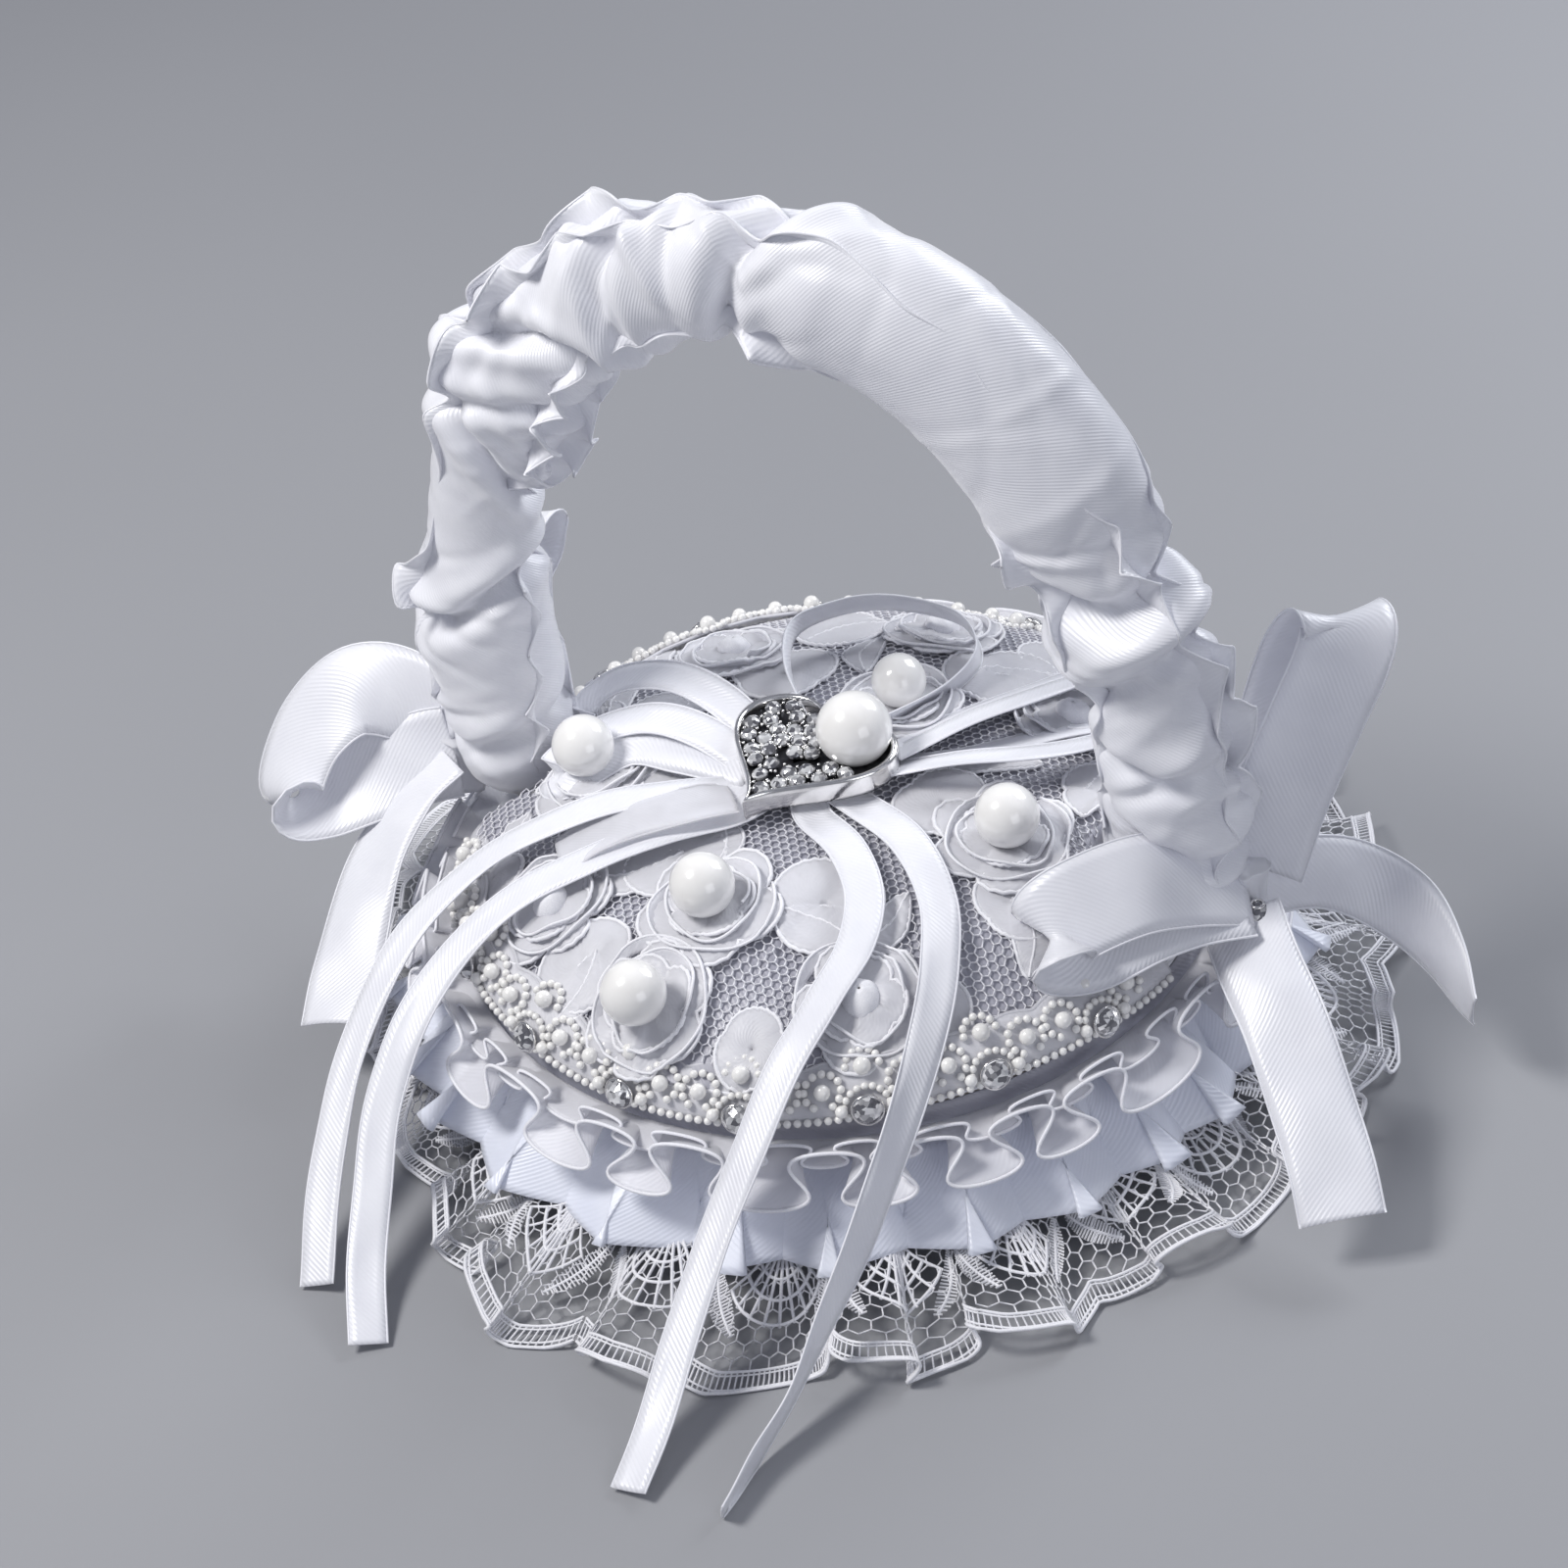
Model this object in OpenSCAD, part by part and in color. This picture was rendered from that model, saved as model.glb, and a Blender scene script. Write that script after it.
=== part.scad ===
// Flower girl basket: a shallow satin tub with a padded lift-off lid,
// an arched ribbon-sleeved handle, gathered frills, bows and streamers.
// Millimetres, +Z up, the origin at the middle of the base on the floor.
// The handle spans X and the front of the basket faces -Y.

/* [Tub] */
// Outer radius of the tub's card wall
tub_r = 57; // [54:1:60]
// Height of the tub's wall above the floor
tub_h = 24; // [22:1:28]
// Thickness of the tub's wall and of its base board
board_t = 2; // [1.5:0.5:2.5]
// Thickness of the satin that covers and lines the tub
satin_t = 0.8; // [0.6:0.1:1]

/* [Lid] */
// Height of the foam dome above the lid's board
dome_h = 12.5; // [8:0.5:14]
// Radius of the notches that clear the two handle legs
notch_r = 10.5; // [10:0.5:12]

/* [Handle] */
// Distance from the middle of the basket to each handle leg
leg_x = 53; // [52:0.5:53]
// Height at which the straight legs end and the arch starts
leg_top = 56; // [50:1:60]
// Radius of the two side arcs of the arch
side_r = 89; // [80:1:100]
// Radius of the top arc of the arch
crown_r = 43; // [38:1:46]
// Radius of the gathered ribbon sleeve round the band
sleeve_r = 8; // [6:0.5:8.5]

/* [Frills] */
// Outer radius of the pleated satin ruffle
satin_ruffle_r = 70; // [66:1:72]
// Outer radius of the organza ruffle
organza_ruffle_r = 68; // [64:1:70]
// Outer radius of the lace skirt
lace_r = 82; // [78:1:86]

/* [Ornaments] */
// Radius of the loose pearls on the lid
pearl_r = 4.8; // [4:0.2:5]
// Width of the bow ribbon
bow_w = 12; // [10:0.5:13]
// Width of the narrow ribbon
narrow_w = 5.5; // [4:0.5:6]

/* [Hidden] */

$fn = 96;
gap = 0.3;                                  // clearance between lid and tub
cover_t = 0.8;                              // base cover thickness
floor_top = cover_t + board_t;
inner_r = tub_r - board_t;
lining_r = inner_r - satin_t;
skirt_r = tub_r + satin_t + gap;            // where the frills are sewn on

lid_z = tub_h + 1 + gap;                    // underside of the lid's board
lid_r = tub_r;
pad_z = lid_z + board_t;
pad_r = lid_r - 1;
net_t = 0.5;

core_t = 1.6;                               // the handle's flat band
core_w = 6;
staple_t = 0.5;
arch_cx = leg_x - side_r;                   // centre of the right-hand side arc
// The crown's centre lies where its arc runs smoothly into both side arcs
arch_cz = sqrt(pow(side_r - crown_r, 2) - pow(arch_cx, 2));
arch_a = atan2(arch_cz, -arch_cx);

ribbon_t = 0.6;
knot_z = 31;

// Height of the foam dome at a distance r from the middle of the lid
function dome(r) = dome_h * pow(max(0, 1 - pow(r / pad_r, 2.6)), 0.75);
function dome_slope(r) = atan(dome(r - 0.5) - dome(r + 0.5));
function dome_profile(lift) = [for (i = [0:16]) let (r = pad_r * sin(90 * i / 16))
    [r * (pad_r + lift) / pad_r, pad_z + dome(r) + lift]];

// ---------------------------------------------------------------- helpers

module ring(r_out, r_in, z0, z1) {
    translate([0, 0, z0]) difference() {
        cylinder(r = r_out, h = z1 - z0);
        translate([0, 0, -1]) cylinder(r = r_in, h = z1 - z0 + 2);
    }
}

// A frill: a flared skirt of cloth from (skirt_r, z_in) down to (r_out, z_out)
module frill(r_out, z_in, z_out, t_in, t_out) {
    rotate_extrude() polygon([
        [skirt_r, z_in], [r_out, z_out], [r_out, z_out + t_out], [skirt_r, z_in + t_in]]);
}

module leg_notches() {
    for (s = [-1, 1])
        translate([s * leg_x, 0, 0]) cylinder(r = notch_r, h = 60);
}

// The handle's path in its own plane, from the right leg over to the left leg
arch_steps = 6;
function half_arch(z_low) = concat(
    [[leg_x, z_low]],
    [for (i = [0:arch_steps]) let (a = arch_a * i / arch_steps)
        [arch_cx + side_r * cos(a), leg_top + side_r * sin(a)]],
    [for (i = [1:arch_steps]) let (a = arch_a + (90 - arch_a) * i / arch_steps)
        [crown_r * cos(a), leg_top + arch_cz + crown_r * sin(a)]]);
function arch_path(z_low) = let (h = half_arch(z_low)) concat(
    h, [for (i = [len(h) - 2:-1:0]) [-h[i][0], h[i][1]]]);

// A bar bent to the handle's path, t thick in the arch's plane and w wide across it
module arch_bar(t, w, z_low) {
    rotate([90, 0, 0]) linear_extrude(w, center = true) polygon(strip(arch_path(z_low), t));
}

function unit(v) = v / norm(v);
function tangent(p, i) = unit(p[min(i + 1, len(p) - 1)] - p[max(i - 1, 0)]);

// Flat strip along a path in its own plane, as an outline of even thickness
function strip(p, t) = concat(
    [for (i = [0:len(p) - 1]) p[i] + t / 2 * [-tangent(p, i)[1], tangent(p, i)[0]]],
    [for (i = [len(p) - 1:-1:0]) p[i] - t / 2 * [-tangent(p, i)[1], tangent(p, i)[0]]]);

// Ribbon that runs away from a point along a heading, its width level and across it
module ribbon(at, heading, path, width, lean = 0) {
    translate(at) rotate([0, 0, heading]) rotate([lean, 0, 0]) rotate([90, 0, 0])
        linear_extrude(width, center = true) polygon(strip(path, ribbon_t));
}

// A bow loop of a given length: out along the top and back underneath
function loop_path(l, rise, h) = [for (a = [30:12:330])
    [l * (1 - cos(a)) / 2, rise * (1 - cos(a)) / 2 + h * sin(a) * (1.3 - cos(a)) / 2]];

// A tail: out, over a low hump and down
function tail_path(l, drop, hump) = [for (i = [0:10])
    [l * i / 10, hump * sin(18 * i) - drop * i * i / 100]];

// Streamer: a flat band swept along its route, its width level
band_sides = 8;
function band_ring(p, i) = let (
        t = tangent(p, i), side = unit(cross(t, [0, 0, 1])), up = cross(side, t))
    [for (k = [0:band_sides - 1]) let (a = 360 * (k + 0.5) / band_sides)
        p[i] + side * (narrow_w / 2 * cos(a)) + up * (0.5 * sin(a))];
module streamer(p) {
    n = len(p);
    polyhedron(
        [for (i = [0:n - 1]) each band_ring(p, i)],
        concat(
            [[for (k = [0:band_sides - 1]) k]],
            [for (i = [0:n - 2]) for (k = [0:band_sides - 1]) let (
                    m = (k + 1) % band_sides, a = i * band_sides, b = a + band_sides)
                each [[a + k, b + k, b + m], [a + k, b + m, a + m]]],
            [[for (k = [band_sides - 1:-1:0]) (n - 1) * band_sides + k]]));
}

streamer_1_route = [
    [-11, -9, 42], [-20, -13, 42.5], [-29, -17, 41.5], [-38, -22, 39], [-46, -29, 35.5],
    [-52, -38, 31], [-55, -48, 25.5], [-56, -58, 19], [-55, -68, 12.5], [-53, -77, 6.5],
    [-50, -86, 1.2]];
streamer_2_route = [
    [-9, -15, 42], [-17, -21, 42], [-26, -28, 40.5], [-35, -35, 37.5], [-42, -44, 32.5],
    [-46, -54, 26], [-47, -64, 18.5], [-45, -74, 11], [-42, -84, 5], [-37, -94, 1.2]];
streamer_3_route = [
    [3, -12, 42], [11, -18, 42.5], [17, -26, 41.5], [19, -35, 39.8], [18, -44, 37.8],
    [16, -54, 34], [14, -64, 27], [12, -74, 19], [11, -85, 11.5], [11, -96, 5],
    [11, -107, 1.2]];
streamer_4_route = [
    [9, -8, 42], [19, -14, 42.5], [27, -23, 40.5], [31, -33, 38], [33, -44, 34],
    [33, -55, 28], [32, -66, 21], [30, -77, 13.5], [28, -88, 7], [26, -98, 3], [25, -107, 1.2]];

// ---------------------------------------------------------------- tub

module base_cover() {
    color("white") cylinder(r = tub_r + satin_t, h = cover_t);
}

module base_board() {
    color("tan") translate([0, 0, cover_t]) cylinder(r = inner_r, h = board_t);
}

module tub_wall() {
    color("tan") ring(tub_r, inner_r, cover_t, tub_h);
}

module tub_lining() {
    color("white") translate([0, 0, floor_top]) difference() {
        cylinder(r = inner_r, h = tub_h - floor_top);
        translate([0, 0, satin_t]) cylinder(r = lining_r, h = tub_h);
    }
}

module wall_cover() {
    color("lavender") ring(tub_r + satin_t, tub_r, cover_t, tub_h);
}

module rim_binding() {
    color("white") ring(tub_r + satin_t, lining_r, tub_h, tub_h + 1);
}

// ---------------------------------------------------------------- frills

module lace_skirt() {
    color("white") frill(lace_r, 9.5, 0, 2, 1.5);
}

module satin_ruffle() {
    color("aliceblue") frill(satin_ruffle_r, 17.5, 8, 2.5, 1.5);
}

module organza_ruffle() {
    color("ghostwhite") frill(organza_ruffle_r, 21.3, 12.2, 1.5, 1.3);
}

// ---------------------------------------------------------------- handle

module handle_core() {
    color("ivory") arch_bar(core_t, core_w, floor_top + satin_t);
}

// Two wide staples hold each leg of the band against the lining
module handle_staples() {
    color("silver") for (s = [0, 1]) mirror([s, 0, 0]) for (z = [7, 15])
        translate([leg_x - core_t / 2 - staple_t, -core_w / 2 - staple_t, z]) difference() {
            cube([core_t + staple_t, core_w + 2 * staple_t, 2]);
            translate([staple_t, staple_t, -1]) cube([core_t + 1, core_w, 4]);
        }
}

// The gathered sleeve is stout in the middle of its section and thinner at its sides
module handle_sleeve() {
    color("white") difference() {
        union() {
            arch_bar(2 * sleeve_r, 1.2 * sleeve_r, knot_z);
            arch_bar(1.2 * sleeve_r, 2 * sleeve_r, knot_z);
        }
        arch_bar(core_t + 0.3, core_w + 0.3, knot_z - 1);
    }
}

// ---------------------------------------------------------------- bows

knot_x = leg_x + 11.5;

module bow_knot(x, y) {
    color("white") translate([x, y, knot_z - 5]) cylinder(r = 2.4, h = 9, $fn = 48);
}

module left_bow_knot() {
    bow_knot(-knot_x, 0);
}

module left_bow_front_loop() {
    color("white")
        ribbon([-knot_x - 3.2, -3, knot_z - 1], 198, loop_path(28, 2, 9), bow_w, -30);
}

module left_bow_back_loop() {
    color("white")
        ribbon([-knot_x - 3, 6, knot_z + 6], 82, loop_path(24, 20, 7), bow_w);
}

module left_bow_tail() {
    color("white")
        ribbon([-knot_x - 2, -10, knot_z - 9], 264, tail_path(36, 9, 1), bow_w);
}

module right_bow_knot() {
    bow_knot(knot_x, 2);
}

module right_bow_front_loop() {
    color("white")
        ribbon([knot_x - 6.5, -14.5, knot_z + 11.8], 205, loop_path(22, -2, 5), bow_w);
}

module right_bow_back_loop() {
    color("white")
        ribbon([knot_x + 3, 6.5, knot_z + 4], 68, loop_path(19, 30, 9), bow_w);
}

module right_bow_front_tail() {
    color("white")
        ribbon([knot_x + 1, -7.5, knot_z - 5], 309, tail_path(42, 14, 3), bow_w);
}

module right_bow_side_tail() {
    color("white")
        ribbon([knot_x + 6.3, 5, knot_z - 3], 352, tail_path(29, 12, 3), bow_w);
}

module bow_crystal() {
    color("silver") translate([knot_x + 2.9, -1.8, knot_z - 2]) sphere(r = 2.4, $fn = 48);
}

module bow_pearl() {
    color("white") translate([knot_x + 1.2, -3.3, knot_z - 7.6]) sphere(r = 2, $fn = 48);
}

// ---------------------------------------------------------------- lid

module lid_board() {
    color("tan") translate([0, 0, lid_z]) difference() {
        cylinder(r = lid_r, h = board_t);
        translate([0, 0, -1]) leg_notches();
    }
}

// Two arcs under the lid's board that drop inside the tub, open where the handle's legs are
module lid_locating_ring() {
    color("tan") difference() {
        ring(leg_x - 2.6, leg_x - 4.6, lid_z - 5, lid_z);
        leg_notches();
    }
}

module lid_pad() {
    color("white") difference() {
        rotate_extrude() polygon(concat([[0, pad_z]], dome_profile(0)));
        leg_notches();
    }
}

// Cloth skin over the dome, from one lift above the foam to the next
module dome_skin(low, high) {
    difference() {
        rotate_extrude() polygon(concat(
            dome_profile(high), [[pad_r + high, pad_z], [pad_r + low, pad_z]],
            [for (i = [16:-1:0]) dome_profile(low)[i]]));
        leg_notches();
    }
}

module lid_satin_cover() {
    color("lavender") dome_skin(0, satin_t);
}

module lid_net_cover() {
    color("white") dome_skin(satin_t, satin_t + net_t);
}

skin_t = satin_t + net_t;
flower_spots = [
    [-5, -32], [31, -7], [-36, -7], [-8, -49], [22, -41],
    [-31, -34], [5, 17], [30, 25], [-28, 27], [2, 41]];
flower_r = 7.6;
flower_t = 0.8;

// Puts its children on the lid's skin, standing square to the dome
module on_dome(at) {
    r = norm(at);
    translate([at[0], at[1], pad_z + dome(r * pad_r / (pad_r + skin_t)) + skin_t + 0.2])
        rotate([0, 0, atan2(at[1], at[0])]) rotate([0, dome_slope(r), 0]) children();
}

module lace_flowers() {
    color("ghostwhite") for (at = flower_spots)
        on_dome(at) cylinder(r = flower_r, h = flower_t, $fn = 48);
}

module lid_pearls() {
    color("ivory") for (i = [0:3])
        on_dome(flower_spots[i]) translate([0, 0, flower_t + pearl_r]) sphere(r = pearl_r, $fn = 48);
    color("ivory") on_dome(flower_spots[6]) translate([0, 0, flower_t + 4.2]) sphere(r = 4.2, $fn = 48);
}

trim_r = lid_r + skin_t + 0.8;
trim_a = [for (a = [16:12:164]) each [a, -a]];

module trim_band() {
    color("white") difference() {
        ring(trim_r, lid_r, lid_z, lid_z + board_t);
        leg_notches();
    }
}

module on_trim(a, out, up) {
    rotate([0, 0, a]) translate([trim_r + out, 0, lid_z + up]) children();
}

module trim_pearls() {
    color("ivory") for (a = trim_a) on_trim(a, 1.5, 0.6) sphere(r = 1.5, $fn = 32);
}

module trim_seed_pearls() {
    color("ivory") for (a = trim_a) for (s = [-1, 1])
        on_trim(a + s * 2.7, 0.8, 0.6 + s * 0.5) sphere(r = 0.8, $fn = 24);
}

module trim_rhinestones() {
    color("silver") for (a = [22:24:166]) for (s = [-1, 1])
        on_trim(s * a, 0, 0) rotate([0, 90, 0]) {
            cylinder(r = 1.7, h = 0.8, $fn = 32);
            translate([0, 0, 0.8]) cylinder(r1 = 1.7, r2 = 1, h = 0.6, $fn = 32);
        }
}

// ---------------------------------------------------------------- heart and ribbons

heart_z = 43.4;
heart_h = 4;
heart_turn = -14;
heart_at = [-2, -3];
heart_pearl_r = 5.7;

function heart(s) = [for (a = [0:9:351])
    s * [16 * pow(sin(a), 3), 13 * cos(a) - 5 * cos(2 * a) - 2 * cos(3 * a) - cos(4 * a)]];

module at_heart(z) {
    translate([heart_at[0], heart_at[1], z]) rotate([0, 0, heart_turn]) children();
}

module heart_cup() {
    color("silver") at_heart(heart_z) difference() {
        linear_extrude(heart_h) polygon(heart(0.86));
        translate([0, 0.3, 0.9]) linear_extrude(heart_h) polygon(heart(0.79));
    }
}

heart_pearl_at = [6.6, 4.6];

// True where a stone's girdle clears the wall of the heart's pocket
function in_pocket(at) = min([for (p = heart(0.79)) norm(p + [0, 0.3] - at)]) > 1.4;

module heart_stones() {
    color("white") at_heart(heart_z + 0.9)
        for (row = [-3:2]) for (col = [-3:3])
            let (x = 3 * col + (row % 2 == 0 ? 0 : 1.5), y = 2.8 * row - 0.5)
                if (abs(x) < 8.6 + min(0, y) * 0.72 && in_pocket([x, y])
                        && norm([x, y] - heart_pearl_at) > heart_pearl_r + 0.4)
                    translate([x, y, 0]) {
                        cylinder(r = 1.25, h = 2.2, $fn = 24);
                        translate([0, 0, 2.2]) cylinder(r1 = 1.25, r2 = 0.7, h = 0.7, $fn = 24);
                    }
}

module heart_pearl() {
    color("ivory") at_heart(heart_z + 0.9 + heart_pearl_r)
        translate(heart_pearl_at) sphere(r = heart_pearl_r, $fn = 48);
}

module ribbon_knot() {
    color("white") translate([heart_at[0], heart_at[1], 42.4]) cylinder(r = 3.4, h = 0.9, $fn = 48);
}

// Heading and reach of each narrow loop that comes out from under the heart
narrow_loops = [[160, 46], [178, 42], [48, 46], [27, 42], [104, 40]];
loop_start = 18;

module ribbon_loops() {
    color("white") for (loop = narrow_loops)
        rotate([0, 0, loop[0]]) translate([loop_start, 0, 46]) rotate([90, 0, 0])
            linear_extrude(narrow_w, center = true)
                polygon(strip(loop_path(loop[1] - loop_start, -3, 4.5), ribbon_t));
}

module organza_tail() {
    color("ghostwhite") ribbon([-12, -14, 45.2], 205, tail_path(20, 1.5, 0.5), 9);
}

// ---------------------------------------------------------------- output

base_cover();
base_board();
tub_wall();
tub_lining();
wall_cover();
rim_binding();
lace_skirt();
satin_ruffle();
organza_ruffle();
handle_core();
handle_staples();
handle_sleeve();
left_bow_knot();
left_bow_front_loop();
left_bow_back_loop();
left_bow_tail();
right_bow_knot();
right_bow_front_loop();
right_bow_back_loop();
right_bow_front_tail();
right_bow_side_tail();
bow_crystal();
bow_pearl();
lid_board();
lid_locating_ring();
lid_pad();
lid_satin_cover();
lid_net_cover();
lace_flowers();
lid_pearls();
trim_band();
trim_pearls();
trim_seed_pearls();
trim_rhinestones();
heart_cup();
heart_stones();
heart_pearl();
ribbon_knot();
ribbon_loops();
organza_tail();
streamer(streamer_1_route);  // streamer_1
streamer(streamer_2_route);  // streamer_2
streamer(streamer_3_route);  // streamer_3
streamer(streamer_4_route);  // streamer_4
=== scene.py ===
import math

import bpy
import numpy as np
from mathutils import Matrix, Vector
from mathutils.bvhtree import BVHTree


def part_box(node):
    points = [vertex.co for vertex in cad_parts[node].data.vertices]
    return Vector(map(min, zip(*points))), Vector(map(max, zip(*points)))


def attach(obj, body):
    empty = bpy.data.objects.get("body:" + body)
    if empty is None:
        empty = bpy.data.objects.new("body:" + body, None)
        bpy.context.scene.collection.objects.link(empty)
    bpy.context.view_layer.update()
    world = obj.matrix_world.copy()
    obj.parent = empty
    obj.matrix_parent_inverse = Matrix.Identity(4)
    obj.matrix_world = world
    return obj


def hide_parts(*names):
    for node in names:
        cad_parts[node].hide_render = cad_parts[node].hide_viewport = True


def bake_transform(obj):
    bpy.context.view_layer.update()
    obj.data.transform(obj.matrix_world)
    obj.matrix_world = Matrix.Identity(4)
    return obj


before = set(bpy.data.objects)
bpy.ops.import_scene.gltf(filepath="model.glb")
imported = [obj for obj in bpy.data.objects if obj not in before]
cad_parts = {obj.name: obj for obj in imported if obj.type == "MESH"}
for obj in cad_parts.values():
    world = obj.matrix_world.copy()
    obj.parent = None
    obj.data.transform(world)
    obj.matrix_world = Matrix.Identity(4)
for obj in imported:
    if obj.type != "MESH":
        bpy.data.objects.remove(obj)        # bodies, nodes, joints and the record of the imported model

# The script works in millimetres and writes every mesh in metres, in the frame's own axes.
MM = 0.001
TURN = 2 * math.pi
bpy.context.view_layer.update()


def corners(node):
    """A CAD node's lowest and highest corner, in millimetres."""
    low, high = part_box(node)
    return np.array(low) / MM, np.array(high) / MM


# ---- places in the frame

COVER_R = corners("wall_cover")[1][1]
LINING_R = corners("tub_lining")[1][1]
FLOOR_TOP = corners("base_board")[1][2]
TUB_TOP = corners("wall_cover")[1][2]
RIM_TOP = corners("rim_binding")[1][2]
SEAM_R = COVER_R + 0.3  # where the frills are sewn on
LID_Z = corners("lid_board")[0][2]
PAD_Z = corners("lid_pad")[0][2]
PAD_R = corners("lid_pad")[1][1]
DOME_H = corners("lid_pad")[1][2] - PAD_Z
TRIM_R = corners("trim_band")[1][1]
BAND_T = 1.6  # the handle's flat band
LEG_X = corners("handle_core")[1][0] - BAND_T / 2
NOTCH_R = 10.5  # clearance in the lid round each leg
LEG_CLEAR = 9.7  # reach of a leg's sleeve beside the lid
HEART = [-2.0, -3.0]
HEART_TURN = math.radians(-14)
HEART_Z = corners("heart_cup")[0][2]
HEART_TOP = corners("heart_cup")[1][2]
BOW_W = 12.0
NARROW_W = 5.5
CRYSTAL = (corners("bow_crystal")[0] + corners("bow_crystal")[1]) / 2
HEART_PEARL = (corners("heart_pearl")[0] + corners("heart_pearl")[1]) / 2
FLOWER_SPOTS = [(-5, -32), (31, -7), (-36, -7), (-8, -49), (22, -41),
                (-31, -34), (5, 17), (30, 25), (-28, 27), (2, 41)]
rng = np.random.default_rng(11)


def dome(r):
    """Height of the cushion's crown above its board at a distance r from the middle."""
    return DOME_H * np.maximum(0, 1 - (np.asarray(r) / PAD_R) ** 2.6) ** 0.75


# ---- camera and light

def make_camera():
    azimuth, elevation, roll = (math.radians(a) for a in (29.5, 38.5, 9.3))
    aim, distance = np.array([-7.8, 0, 36.5]), 557
    back = np.array([math.sin(azimuth) * math.cos(elevation),
                     -math.cos(azimuth) * math.cos(elevation), math.sin(elevation)])
    right = np.cross(-back, [0, 0, 1])
    right /= np.linalg.norm(right)
    up = np.cross(right, -back)
    across = math.cos(roll) * right - math.sin(roll) * up
    above = math.sin(roll) * right + math.cos(roll) * up
    data = bpy.data.cameras.new("camera")
    data.sensor_width, data.lens, data.clip_start = 36, 84.375, 0.02
    camera = bpy.data.objects.new("camera", data)
    bpy.context.scene.collection.objects.link(camera)
    place = (aim + back * distance) * MM
    camera.matrix_world = Matrix(
        [[across[i], above[i], back[i], place[i]] for i in range(3)] + [[0, 0, 0, 1]])
    bpy.context.scene.camera = camera


def soft_light(name, place, size, power, colour=(1, 1, 1)):
    data = bpy.data.lights.new(name, "AREA")
    data.shape, data.size, data.energy, data.color = "SQUARE", size, power, colour
    lamp = bpy.data.objects.new(name, data)
    bpy.context.scene.collection.objects.link(lamp)
    lamp.location = place
    aim = Vector((0, 0, 0.05)) - lamp.location
    lamp.rotation_euler = aim.to_track_quat("-Z", "Y").to_euler()


def make_studio():
    floor = Build()
    span = 3000
    floor.add([(-span, -span, 0), (span, -span, 0), (span, span, 0), (-span, span, 0)],
              np.array([[0, 1, 2, 3]]))
    look = surface("studio_floor", (0.30, 0.305, 0.325), (0.33, 0.335, 0.355), ("Noise", 3.0, 2.0),
                   Roughness=0.5)
    obj = floor.piece("floor", [look])
    world = bpy.data.worlds.new("studio")
    world.use_nodes = True
    world.node_tree.nodes["Background"].inputs["Color"].default_value = (0.82, 0.86, 1, 1)
    world.node_tree.nodes["Background"].inputs["Strength"].default_value = 0.3
    bpy.context.scene.world = world
    soft_light("key", (-0.32, -0.22, 0.62), 0.2, 3.7, (1, 0.985, 0.96))
    soft_light("fill", (0.62, -0.42, 0.3), 0.4, 0.8, (0.93, 0.95, 1))
    soft_light("rim", (0.22, 0.5, 0.4), 0.3, 2.4, (0.95, 0.97, 1))
    bpy.context.scene.view_settings.view_transform = "Standard"


# ---- materials

def add_texture(nodes, links, kind, coords, **values):
    node = nodes.new("ShaderNodeTex" + kind)
    links.new(coords, node.inputs["Vector"])
    for key, value in values.items():
        if key in node.inputs:
            node.inputs[key].default_value = value
        else:
            setattr(node, key, value)
    return node.outputs["Color" if kind == "Voronoi" else "Fac"]


def surface(name, low, high, tone, weave=None, relief=None, **settings):
    """A material whose colour varies between two tones.

    tone is a texture's kind, scale and detail. weave is the pitch in millimetres and the
    distortion of slanting twill lines that run with the cloth; without it, the textures follow
    the object. relief is the strength and depth of the bump that the weave, or the tone, makes.
    """
    mat = bpy.data.materials.new(name)
    mat.use_nodes = True
    nodes, links = mat.node_tree.nodes, mat.node_tree.links
    shader = nodes["Principled BSDF"]
    if weave:
        place = nodes.new("ShaderNodeUVMap")
        place.uv_map = "cloth"
        coords = place.outputs["UV"]
    else:
        coords = nodes.new("ShaderNodeTexCoord").outputs["Object"]
    kind, scale, detail = tone
    spots = add_texture(nodes, links, kind, coords, Scale=scale,
                        **({"Detail": detail} if detail else {}))
    ramp = nodes.new("ShaderNodeValToRGB")
    for element, at, colour in zip(ramp.color_ramp.elements, (0.3, 0.7), (low, high)):
        element.color, element.position = (*colour, 1), at
    links.new(spots, ramp.inputs["Fac"])
    links.new(ramp.outputs["Color"], shader.inputs["Base Color"])
    if relief:
        height = spots
        if weave:
            height = add_texture(nodes, links, "Wave", coords, bands_direction="DIAGONAL",
                                 Scale=TURN / (10 * weave[0] * 1.41), Distortion=weave[1])
        bump = nodes.new("ShaderNodeBump")
        bump.inputs["Strength"].default_value, bump.inputs["Distance"].default_value = relief
        links.new(height, bump.inputs["Height"])
        links.new(bump.outputs["Normal"], shader.inputs["Normal"])
    for key, value in settings.items():
        shader.inputs[key.replace("_", " ")].default_value = value
    return mat


def satin(name, low, high, rough=0.34):
    """Smooth satin: fine slanting twill lines, a soft sheen and a slow change of tone."""
    return surface(name, low, high, ("Noise", 0.09, 3.0), (0.62, 0.4), (0.3, 0.0001),
                   Roughness=rough, Sheen_Weight=0.35, Sheen_Roughness=0.4,
                   Specular_IOR_Level=0.6)


def sheer(name, colour, alpha):
    """Sheer organza: a thin crisp film with a fine even weave."""
    return surface(name, [c * 0.93 for c in colour], colour, ("Noise", 0.25, 2.0), (0.55, 0.2),
                   (0.25, 0.00008), Roughness=0.42, Sheen_Weight=0.5, Alpha=alpha)


def thread(name, low, high, twist=0.4):
    """Spun thread for net, lace and embroidery, with its twist's pitch in millimetres."""
    return surface(name, low, high, ("Noise", 1.6 / (twist * MM), 2.0), None, (0.4, 0.0001),
                   Roughness=0.5, Sheen_Weight=0.3)


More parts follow.
